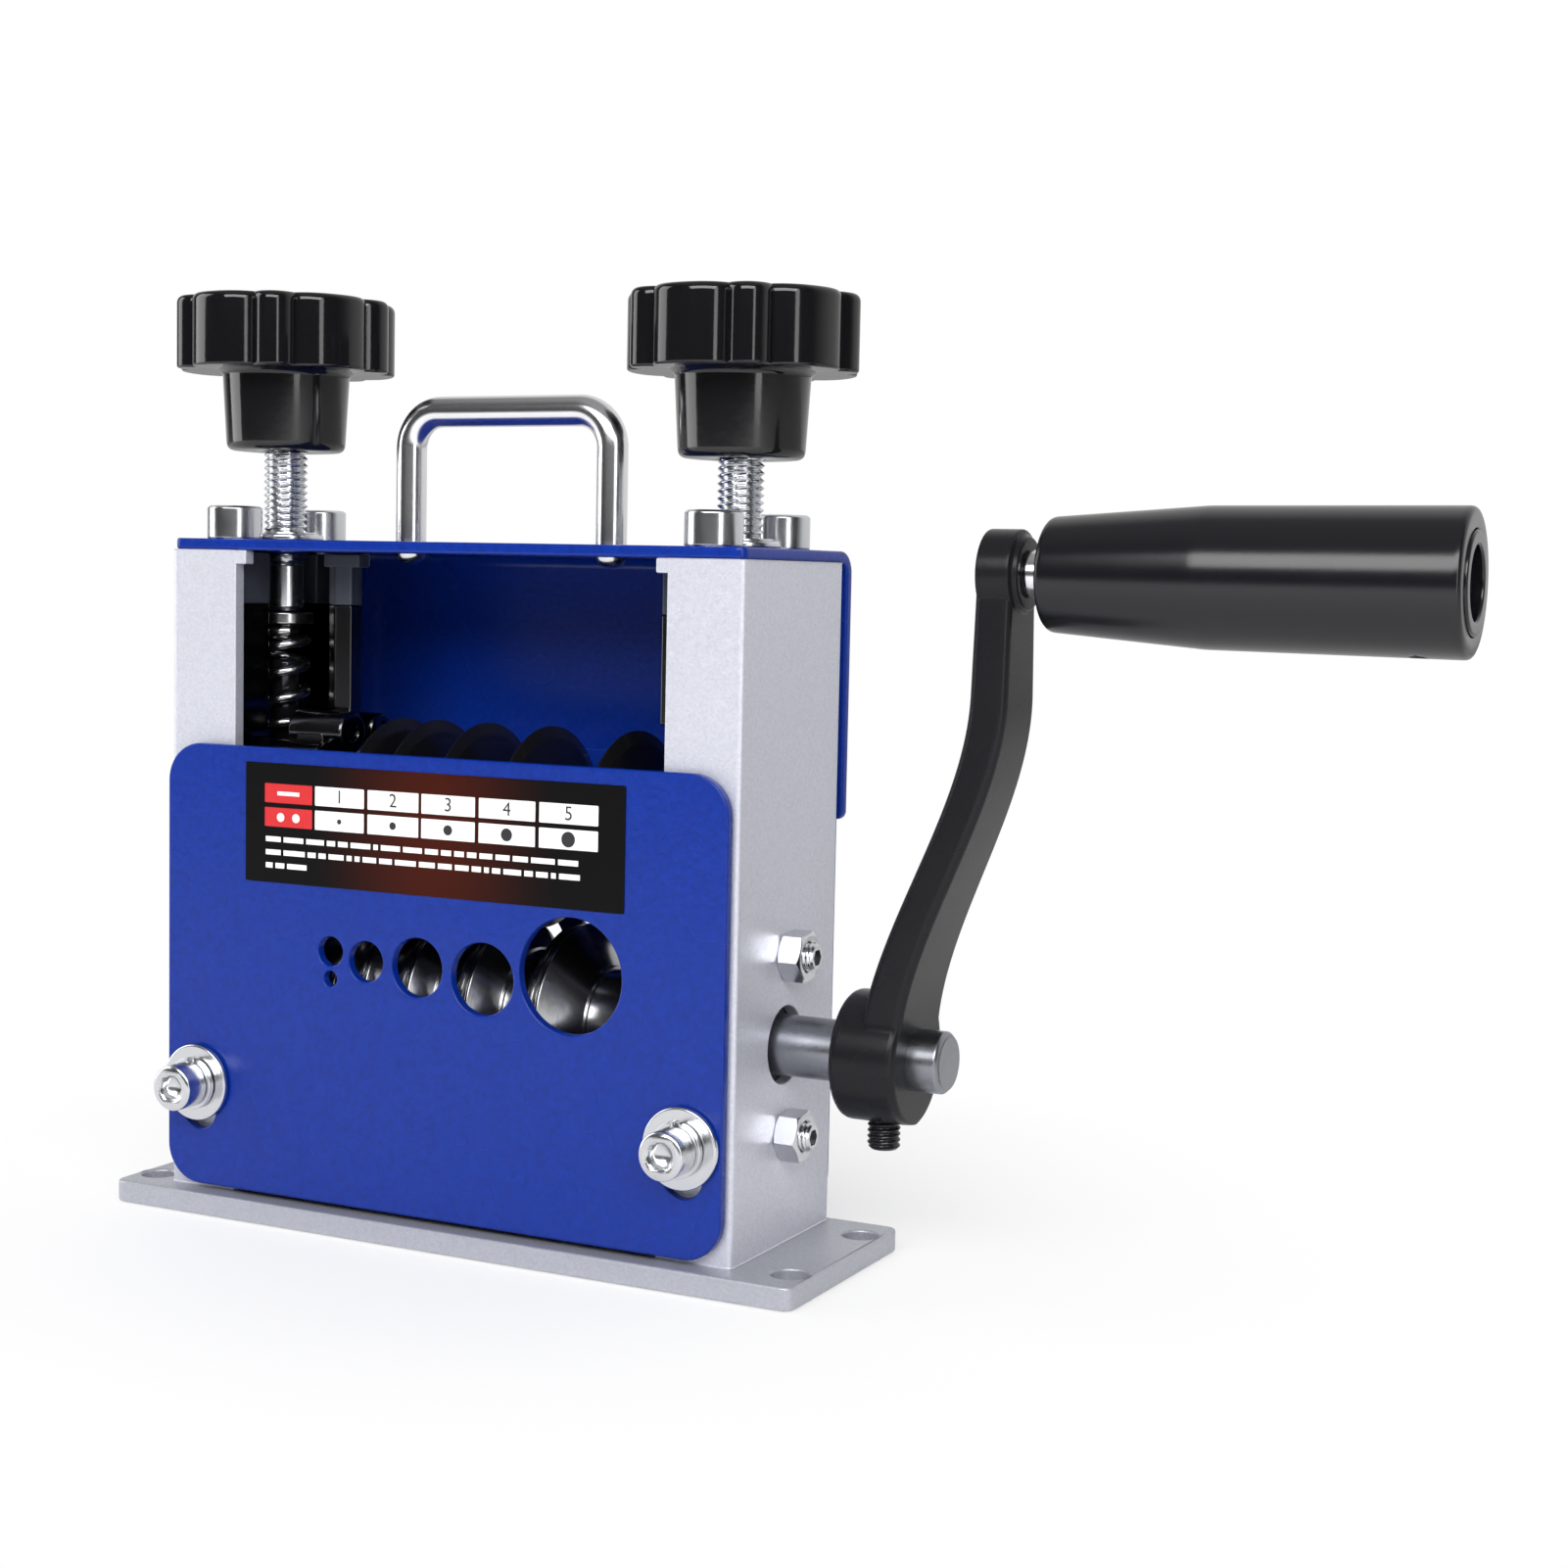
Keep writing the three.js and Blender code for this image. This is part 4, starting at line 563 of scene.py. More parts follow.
class ShaderParts:
    """Node groups that several finishes share, each made once."""

    def __init__(self) -> None:
        """Makes the groups."""
        self.groups = {
            Pattern.GRAIN: self._grain(),
            Pattern.FLAKE: self._flake(),
            Pattern.TURNED: self._turned(),
        }

    @staticmethod
    def _group(name: str) -> tuple[Tree, Outputs]:
        """A group with the sockets that all three patterns have.

        Args:
            name: the group's name.

        Returns:
            The group's tree, and the sockets that carry what it is given.
        """
        tree = bpy.data.node_groups.new(name, "ShaderNodeTree")
        tree.interface.new_socket("Color", in_out="INPUT", socket_type="NodeSocketColor")
        for label in ("Scale", "Shade", "Roughness", "Spread"):
            tree.interface.new_socket(label, in_out="INPUT", socket_type="NodeSocketFloat")
        tree.interface.new_socket("Color", in_out="OUTPUT", socket_type="NodeSocketColor")
        for label in ("Roughness", "Height"):
            tree.interface.new_socket(label, in_out="OUTPUT", socket_type="NodeSocketFloat")
        return tree, tree.nodes.new("NodeGroupInput").outputs

    @staticmethod
    def _math(tree: Tree, operation: str, first: object, second: object) -> Socket:
        """A Math node on two sockets or numbers; returns its output."""
        return add_node(tree, "Math", {0: first, 1: second}, operation=operation)[0]

    @staticmethod
    def _noise(tree: Tree, vector: Socket, scale: Socket, detail: float) -> Socket:
        """A noise texture on a vector; returns its value."""
        inputs = {"Vector": vector, "Scale": scale, "Detail": detail}
        return add_node(tree, "TexNoise", inputs)["Fac"]

    def _finish(
        self, tree: Tree, given: Outputs, pattern: Socket, smudge: Socket, height: Socket
    ) -> Tree:
        """Turns a pattern about one half into colour and roughness.

        The colour is the given one times one plus shade times the pattern less a half; the
        roughness is the given one plus spread times the smudge less a half.

        Args:
            tree: the group's tree.
            given: the sockets that carry what the group is given.
            pattern: what changes the colour.
            smudge: what changes the roughness.
            height: the relief.

        Returns:
            The group's tree.
        """
        result = tree.nodes.new("NodeGroupOutput")
        centred = self._math(tree, "SUBTRACT", pattern, 0.5)
        shade = self._math(tree, "MULTIPLY", centred, given["Shade"])
        factor = self._math(tree, "ADD", shade, 1.0)
        scaled = {0: given["Color"], "Scale": factor}
        colour = add_node(tree, "VectorMath", scaled, operation="SCALE")[0]
        off = self._math(tree, "SUBTRACT", smudge, 0.5)
        spread = self._math(tree, "MULTIPLY", off, given["Spread"])
        rough = self._math(tree, "ADD", spread, given["Roughness"])
        feed(tree, result, {"Color": colour, "Roughness": rough, "Height": height})
        return tree

    def _grain(self) -> Tree:
        """Fine uneven grain, with wide soft smudges in the roughness.

        Returns:
            The group's tree.
        """
        tree, given = self._group("surface_grain")
        place = add_node(tree, "TexCoord")["Object"]
        fine = self._noise(tree, place, given["Scale"], 3.0)
        broad = self._math(tree, "MULTIPLY", given["Scale"], 0.06)
        wide = self._noise(tree, place, broad, 2.0)
        return self._finish(tree, given, fine, wide, fine)

    def _flake(self) -> Tree:
        """Small cells of uneven brightness, as metal flake in a coat.

        Returns:
            The group's tree.
        """
        tree, given = self._group("metal_flake")
        place = add_node(tree, "TexCoord")["Object"]
        cells = add_node(tree, "TexVoronoi", {"Vector": place, "Scale": given["Scale"]})
        split = add_node(tree, "SeparateColor", {0: cells["Color"]})
        fine = self._noise(tree, place, given["Scale"], 2.0)
        both = self._math(tree, "ADD", split[0], fine)
        pattern = self._math(tree, "MULTIPLY", both, 0.5)
        return self._finish(tree, given, pattern, split[1], fine)

    def _turned(self) -> Tree:
        """Fine lines across X, as a lathe leaves on a bar along X, with a little grain.

        Returns:
            The group's tree.
        """
        tree, given = self._group("turning_marks")
        place = add_node(tree, "TexCoord")["Object"]
        along = {0: place, 1: (1.0, 0.05, 0.05)}
        stretch = add_node(tree, "VectorMath", along, operation="MULTIPLY")[0]
        lines = self._noise(tree, stretch, given["Scale"], 2.0)
        coarse = self._math(tree, "MULTIPLY", given["Scale"], 0.4)
        grain = self._noise(tree, place, coarse, 3.0)
        both = self._math(tree, "ADD", lines, grain)
        pattern = self._math(tree, "MULTIPLY", both, 0.5)
        return self._finish(tree, given, pattern, grain, lines)


@dataclass(frozen=True)
class Finish:
    """One surface finish.

    Attributes:
        name: material name.
        slot: the record's material slot.
        colour: linear base colour.
        roughness: mean roughness.
        scale: pattern features per metre.
        shade: how much the pattern changes the colour.
        spread: how much the roughness varies.
        height: depth of the relief, in metres.
        metallic: 1 for bare metal.
        pattern: what varies over the surface.
        specular: strength of the reflection at a right angle, a half for most coats.
    """

    name: str
    slot: str
    colour: tuple[float, float, float]
    roughness: float
    scale: float
    shade: float
    spread: float
    height: float
    metallic: float = 0.0
    pattern: Pattern = Pattern.GRAIN
    specular: float = 0.5

    def material(self, parts: ShaderParts) -> Material:
        """Makes the finish's material.

        Args:
            parts: the shared node groups.

        Returns:
            The new material.
        """
        material, tree, shader = new_material(self.name)
        given = {
            "Color": (*self.colour, 1.0),
            "Scale": self.scale,
            "Shade": self.shade,
            "Roughness": self.roughness,
            "Spread": self.spread,
        }
        group = add_node(tree, "Group", given, node_tree=parts.groups[self.pattern])
        bump = add_node(tree, "Bump", {"Distance": self.height, "Height": group["Height"]})
        feed(tree, shader, {
            "Base Color": group["Color"],
            "Metallic": self.metallic,
            "Roughness": group["Roughness"],
            "Specular IOR Level": self.specular,
            "Normal": bump["Normal"],
        })
        return material


FINISHES = {
    "blue": Finish(
        "blue_coat", "blue_paint", (0.002, 0.024, 0.245), roughness=0.27, scale=900,
        shade=0.6, spread=0.04, height=4.5e-5, specular=0.3,
    ),
    "silver": Finish(
        "silver_coat", "silver_paint", (0.6, 0.61, 0.68), roughness=0.42, scale=2600,
        shade=0.24, spread=0.12, height=3e-5, metallic=0.4, pattern=Pattern.FLAKE,
    ),
    "plate": Finish(
        "plate_coat", "silver_paint", (0.43, 0.44, 0.49), roughness=0.4, scale=2600,
        shade=0.24, spread=0.12, height=3e-5, metallic=0.5, pattern=Pattern.FLAKE,
    ),
    "zinc": Finish(
        "bright_zinc", "zinc", (0.66, 0.67, 0.69), roughness=0.21, scale=2500,
        shade=0.1, spread=0.12, height=6e-6, metallic=1.0,
    ),
    "shaft": Finish(
        "turned_steel", "zinc", (0.28, 0.29, 0.315), roughness=0.3, scale=6000,
        shade=0.25, spread=0.14, height=1e-5, metallic=1.0, pattern=Pattern.TURNED,
    ),
    "polished": Finish(
        "polished_bar", "polished_steel", (0.8, 0.8, 0.82), roughness=0.2, scale=600,
        shade=0.04, spread=0.03, height=1e-6, metallic=1.0,
    ),
    "black_steel": Finish(
        "black_oxide", "black_steel", (0.045, 0.045, 0.05), roughness=0.16, scale=2500,
        shade=0.3, spread=0.08, height=5e-6, metallic=0.8, pattern=Pattern.TURNED,
    ),
    # Painted light: the rails are black steel, given a far brighter metal colour so that their
    # faces and edges look lit in the shaded window.
    "rail": Finish(
        "rail_steel_painted_light", "black_steel", (0.1, 0.1, 0.105), roughness=0.18, scale=2500,
        shade=0.2, spread=0.06, height=3e-6, metallic=1.0,
    ),
    # Painted light: the springs and thrust pads are black steel, given a pale metal colour so
    # that their coils look lit and glint in the shaded window.
    "spring": Finish(
        "spring_steel_painted_light", "black_steel", (0.45, 0.45, 0.455), roughness=0.22, scale=2500,
        shade=0.2, spread=0.06, height=3e-6, metallic=1.0,
    ),
    # Painted light: the feed roller is black steel, given a paler metal colour so that it looks
    # lit inside the shaded feed holes.
    "roller": Finish(
        "roller_painted_light", "black_steel", (0.3, 0.3, 0.31), roughness=0.2, scale=2500,
        shade=0.2, spread=0.08, height=5e-6, metallic=1.0, pattern=Pattern.TURNED,
    ),
    "slate": Finish(
        "slate_block", "black_steel", (0.055, 0.062, 0.08), roughness=0.42, scale=3000,
        shade=0.2, spread=0.12, height=8e-6, metallic=0.3,
    ),
    "gloss": Finish(
        "gloss_knob", "black_plastic", (0.006, 0.006, 0.007), roughness=0.1, scale=700,
        shade=0.2, spread=0.06, height=8e-6,
    ),
    "satin": Finish(
        "satin_grip", "black_plastic", (0.006, 0.006, 0.008), roughness=0.2, scale=1100,
        shade=0.2, spread=0.06, height=6e-6, specular=0.45,
    ),
    "casting": Finish(
        "black_casting", "black_casting", (0.011, 0.011, 0.013), roughness=0.27, scale=1500,
        shade=0.25, spread=0.08, height=1.5e-5, specular=0.18,
    ),
}


class Finishes:
    """All materials of the tool, by the name that its maker would use."""

    def __init__(self) -> None:
        """Makes every material once."""
        parts = ShaderParts()
        self.slots = {name: finish.slot for name, finish in FINISHES.items()}
        self.materials = {name: finish.material(parts) for name, finish in FINISHES.items()}
        self.slots.update(label="blue_paint")
        self.materials.update(
            label=self._label(),
            white=self._flat("label_white", (0.86, 0.86, 0.85)),
            red=self._flat("label_red", (0.55, 0.012, 0.016)),
            ink=self._flat("label_ink", (0.015, 0.015, 0.017)),
        )

    @staticmethod
    def _speckled(tree: Tree, colours: Sequence[tuple]) -> Socket:
        """Mixes two colours by a fine noise.

        Args:
            tree: the material's tree.
            colours: the two colours.

        Returns:
            The mixed colour's socket.
        """
        place = add_node(tree, "TexCoord")["Object"]
        noise = add_node(tree, "TexNoise", {"Vector": place, "Scale": 1800.0})["Fac"]
        ramp = tree.nodes.new("ShaderNodeValToRGB")
        for element, colour in zip(ramp.color_ramp.elements, colours):
            element.color = (*colour, 1.0)
        feed(tree, ramp, {"Fac": noise})
        return ramp.outputs["Color"]

    def _flat(self, name: str, colour: tuple[float, float, float]) -> Material:
        """A printed ink, barely uneven.

        Args:
            name: material name.
            colour: linear base colour.

        Returns:
            The new material.
        """
        material, tree, shader = new_material(name)
        paler = tuple(min(1.0, part * 1.1 + 0.004) for part in colour)
        speckled = self._speckled(tree, (colour, paler))
        feed(tree, shader, {"Roughness": 0.4, "Base Color": speckled})
        return material

    @staticmethod
    def _label() -> Material:
        """Glossy black film with a dull red glow printed round its middle.

        The glow's share falls from one to nothing as the distance from the label's middle,
        stretched in Z, grows.

        Returns:
            The new material.
        """
        material, tree, shader = new_material("label_film")
        inputs = {
            "Vector": add_node(tree, "TexCoord")["Object"],
            "Location": (0.06, 0.0, -1.02),
            "Scale": (30.0, 0.0, 14.0),
        }
        stretched = add_node(tree, "Mapping", inputs)["Vector"]
        size = add_node(tree, "VectorMath", {0: stretched}, operation="LENGTH")["Value"]
        ramp = tree.nodes.new("ShaderNodeValToRGB")
        ramp.color_ramp.interpolation = "EASE"
        glow, black = ramp.color_ramp.elements
        glow.color = (0.05, 0.008, 0.004, 1.0)
        black.color = (0.004, 0.004, 0.0045, 1.0)
        black.position = 0.8
        feed(tree, ramp, {"Fac": size})
        film = {"Base Color": ramp.outputs["Color"], "Roughness": 0.3, "Specular IOR Level": 0.08}
        feed(tree, shader, film)
        return material


@dataclass
class Assembly:
    """A sub-assembly, whose pieces take their finishes from one set."""

    finishes: Finishes
    made: list[Piece] = field(default_factory=list, init=False)

    def add(
        self, name: str, shell: Shell, finish: str, body: str, nodes: Sequence[str] = (),
        shading: Shading = Shading.ROUNDED, shift: Array = MACHINE, extra: Sequence[str] = (),
    ) -> Piece:
        """Makes a piece from a shell and lets it ride on its body.

        Args:
            name: piece name.
            shell: its skin in millimetres.
            finish: key of its first material.
            body: body that it rides on.
            nodes: CAD nodes that it stands for.
            shading: how its normals are set.
            shift: added to every point before the mesh is made.
            extra: keys of further material slots.

        Returns:
            The new object.
        """
        mesh = shell.moved(shift).mesh(name)
        for key in (finish, *extra):
            mesh.materials.append(self.finishes.materials[key])
        mesh.polygons.foreach_set("use_smooth", np.ones(len(mesh.polygons), bool))
        if shading is Shading.ROUNDED:
            weigh_normals(mesh)
        elif shading is Shading.CREASED:
            mesh.set_sharp_from_angle(angle=CREASE)
        piece = bpy.data.objects.new(name, mesh)
        bpy.context.scene.collection.objects.link(piece)
        if nodes:
            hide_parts(*nodes)
        if body:
            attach(piece, body)
        self.made.append(piece)
        return piece

    def dress(
        self, node: str, shell: Shell, finish: str, body: str = "frame",
        shading: Shading = Shading.ROUNDED,
    ) -> Piece:
        """Makes the smooth piece that stands for one CAD node.

        Args:
            node: the node's name.
            shell: the piece's skin in millimetres.
            finish: key of its material.
            body: body that it rides on.
            shading: how its normals are set.

        Returns:
            The new object.
        """
        return self.add(f"{node}_dressed", shell, finish, body, [node], shading)

    def build(self) -> None:
        """Makes the group's pieces."""
        raise NotImplementedError


FEED_HOLES = (
    (-21.2, 50.5, 5.2),
    (-21.2, 45.6, 2.8),
    (-13.6, 49.3, 7.2),
    (-2.8, 49.2, 10.4),
    (10.6, 48.4, 12.6),
    (28.1, 50.5, 20.0),
)
CHANNELS = (-21.2, -13.6, -2.8, 10.6, 28.1)


@dataclass
class BasePlate(Assembly):
    """The plate that the tool is screwed down by."""

    length: float = 140.0
    width: float = 44.0
    thickness: float = 4.0
    corner: float = 2.5
    hole: float = 6.5
    pitch: tuple[float, float] = (132.0, 28.0)
    edge: float = 0.5

    def build(self) -> None:
        """Makes the plate with its four holes."""
        half_x, half_y = self.length / 2, self.width / 2
        outline = softened(rectangle(-half_x, half_x, -half_y, half_y), self.corner, 8)
        holes = [
            circle(x * self.pitch[0] / 2, y * self.pitch[1] / 2, self.hole / 2, 48)[::-1]
            for x in (-1, 1)
            for y in (-1, 1)
        ]
        shell = Shell().prism([outline, *holes], 0.0, self.thickness, self.edge)
        self.add("base_plate_dressed", shell, "plate", "frame", ["base_plate"], shift=BASE)


@dataclass
class Pillar(Assembly):
    """A folded sheet pillar with a round shaft hole and two tabs folded in at its top."""

    side: Side
    depth: float = 38.0
    wall: float = 2.5
    flange: float = 14.3
    fold: float = 1.0
    corner: float = 1.1
    low: float = 4.0
    high: float = 121.0
    edge: float = 0.3
    shaft_hole: float = 13.5
    shaft_z: float = 38.6
    tab_reach: float = 16.5
    tab_height: float = 2.5

    def build(self) -> None:
        """Makes the pillar: a folded section whose wall is pierced by the shaft hole."""
        half = self.depth / 2
        inner = half - self.wall
        flange, wall, fold, edge = self.flange, self.wall, self.fold, self.edge
        corners = [
            [flange, -half], [0.0, -half], [0.0, half], [flange, half],
            [flange, inner], [wall, inner], [wall, -inner], [flange, -inner],
        ]
        radii = [edge, fold, fold, edge, edge, self.corner, self.corner, edge]
        section = softened(corners, radii, 6)
        heights, insets = edge_levels(self.low, self.high, self.edge)
        rings = np.stack([offset(section, inset) for inset in insets])
        rows = Axis.Z.lay(rings[..., 0], rings[..., 1], heights[:, None])
        following = np.roll(section, -1, axis=0)
        flats = {
            place: int(np.flatnonzero(
                (np.abs(section[:, 0] - place) < 1e-6)
                & (np.abs(following[:, 0] - place) < 1e-6)
                & (np.abs(following[:, 1] - section[:, 1]) > self.depth / 2)
            )[0])
            for place in (0.0, self.wall)
        }
        middle = len(heights) // 2
        shell = Shell().grid(rows[:middle]).grid(rows[middle:])
        shell.grid(rows[middle - 1 : middle + 1], skip=flats.values())
        step, inset = edge_levels(0.0, self.wall, self.edge)
        radius = self.shaft_hole / 2
        bore = np.stack([circle(0, self.shaft_z, radius + extra, 64) for extra in inset])
        bore_rows = Axis.X.lay(bore[..., 0], bore[..., 1], step[:, None])
        shell.grid(bore_rows)
        for place, ring in ((0.0, bore_rows[0]), (self.wall, bore_rows[-1])):
            column = flats[place]
            beside = (column + 1) % len(section)
            levels = [middle - 1, middle - 1, middle, middle]
            shell.flat([rows[levels, [column, beside, beside, column]], ring])
        shell.flat([rows[0]]).flat([rows[-1]])
        foot, top = self.high - self.tab_height, self.high - 0.01
        for low, high in ((0.02 - half, -inner), (inner, half - 0.02)):
            shell.box((self.wall - 0.5, low, foot), (self.tab_reach, high, top), self.edge)
        shell.mapped(self.side.inward)
        self.dress(f"{self.side.label}_pillar", shell, "silver")


@dataclass
class Cover(Assembly):
    """The top cover: one sheet folded down at the back, with rounded corners."""

    half_width: float = PILLAR_X - 0.2
    front: float = -19.0
    back: float = 23.3
    top: float = 123.0
    drop: float = 47.5
    thickness: float = 2.0
    fold: float = 4.0
    corner: float = 1.5
    edge: float = 0.5

    def _path(self, place: Array) -> tuple[Array, Array]:
        """Points and normals along the sheet's middle, from the front edge to the apron's foot.

        The middle runs straight back, round a quarter circle and straight down.

        Args:
            place: distances from the front edge.

        Returns:
            Points in Y and Z, and the unit normals there.
        """
        radius = self.fold - self.thickness / 2
        straight = self.back - self.fold - self.front
        turn = np.clip((place - straight) / radius, 0, math.pi / 2)
        y = self.front + np.minimum(place, straight) + radius * np.sin(turn)
        z = self.top - self.thickness / 2 - radius * (1 - np.cos(turn))
        z = z - np.maximum(place - straight - radius * math.pi / 2, 0)
        return np.stack([y, z], axis=-1), np.stack([np.sin(turn), np.cos(turn)], axis=-1)

    def build(self) -> None:
        """Makes the sheet: a thin rounded section, narrower at its corners, along its fold."""
        radius = self.fold - self.thickness / 2
        straight = self.back - self.fold - self.front
        length = straight + radius * math.pi / 2 + self.drop - self.fold
        ends = np.concatenate([
            self.edge * (1 - np.cos(np.linspace(0, math.pi / 2, 4))),
            self.corner * (1 - np.cos(np.linspace(0.55, math.pi / 2, 9))),
        ])
        fold = straight + radius * np.linspace(0, math.pi / 2, 11)
        place = np.unique(np.round(np.concatenate([ends, fold, length - ends]), 5))
        near = np.minimum(place, length - place)
        inset = self.corner - np.sqrt(self.corner**2 - np.maximum(self.corner - near, 0) ** 2)
        thin = self.edge - np.sqrt(self.edge**2 - np.maximum(self.edge - near, 0) ** 2)
        arc = np.linspace(0, math.pi / 2, 4)
        quarter = [(1, 1, arc), (-1, 1, arc[::-1]), (-1, -1, arc), (1, -1, arc[::-1])]
        across = np.concatenate([x * (np.cos(a) - 1) * self.edge for x, _, a in quarter])
        along = np.concatenate([y * (np.sin(a) - 1) * self.edge for _, y, a in quarter])
        x_sign = np.repeat([s[0] for s in quarter], len(arc))
        n_sign = np.repeat([s[1] for s in quarter], len(arc))
        x = x_sign * (self.half_width - inset)[:, None] + across
        lift = n_sign * (self.thickness / 2 - thin)[:, None] + along
        points, normals = self._path(place)
        y = points[:, :1] + normals[:, :1] * lift
        z = points[:, 1:] + normals[:, 1:] * lift
        shell = Shell().loft(np.stack([x, y, z], axis=-1))
        self.dress("top_cover", shell, "blue")


@dataclass
class Guards(Assembly):
    """The front guard, which lifts on two slots, and the fixed rear guard."""

    half_width: float = PILLAR_X - 1.0
    low: float = 5.0
    high: float = 86.0
    corner: float = 7.0
    thickness: float = 2.0
    front: float = -21.3
    rear: float = 19.0
    screw_x: float = 50.3
    screw_z: float = 24.0
    slot_width: float = 7.5
    rear_hole: float = 5.4
    travel: float = 5.0
    edge: float = 0.35

    def _outline(self) -> list[Array]:
        """The rounded outline and the feed holes that both guards share.

        Returns:
            The outline counter-clockwise, then its holes clockwise.
        """
        radius = self.corner
        reach = self.half_width - radius
        centres = rectangle(-reach, reach, self.low + radius, self.high - radius)
        turn = (np.array([2, 3, 0, 1])[:, None] + np.linspace(0, 1, 13)) * math.pi / 2
        arcs = centres[:, None] + radius * np.stack([np.cos(turn), np.sin(turn)], axis=-1)
        holes = [circle(x, z, size / 2, 72)[::-1] for x, z, size in FEED_HOLES]
        return [arcs.reshape(-1, 2), *holes]

    def _slot(self, x: float) -> Array:
        """A slot as long as the guard's travel.

        Args:
            x: its place across the guard.

        Returns:
            Its loop, clockwise.
        """
        half = np.linspace(0, math.pi, 17)
        top = np.stack([np.cos(half), np.sin(half)], axis=-1) * self.slot_width / 2
        foot = -top - np.array([0.0, self.travel])
        return (np.concatenate([top, foot]) + np.array([x, self.screw_z]))[::-1]

    def _sheet(self, cuts: list[Array], front: float) -> Shell:
        """One guard: the shared outline with further cuts, extruded back from its front face."""
        loops = [*self._outline(), *cuts]
        return Shell().prism(loops, front, front + self.thickness, self.edge, Axis.Y)

    def build(self) -> None:
        """Makes both guards."""
        places = [side.value * self.screw_x for side in Side]
        front = self._sheet([self._slot(x) for x in places], self.front)
        self.dress("front_guard", front, "blue", "lifting_guard")
        holes = [circle(x, self.screw_z, self.rear_hole / 2, 32)[::-1] for x in places]
        self.dress("rear_guard", self._sheet(holes, self.rear), "blue")


class Ink(Enum):
    """The label's printed colours; the value is the material slot."""

    WHITE = 0
    RED = 1
    DARK = 2


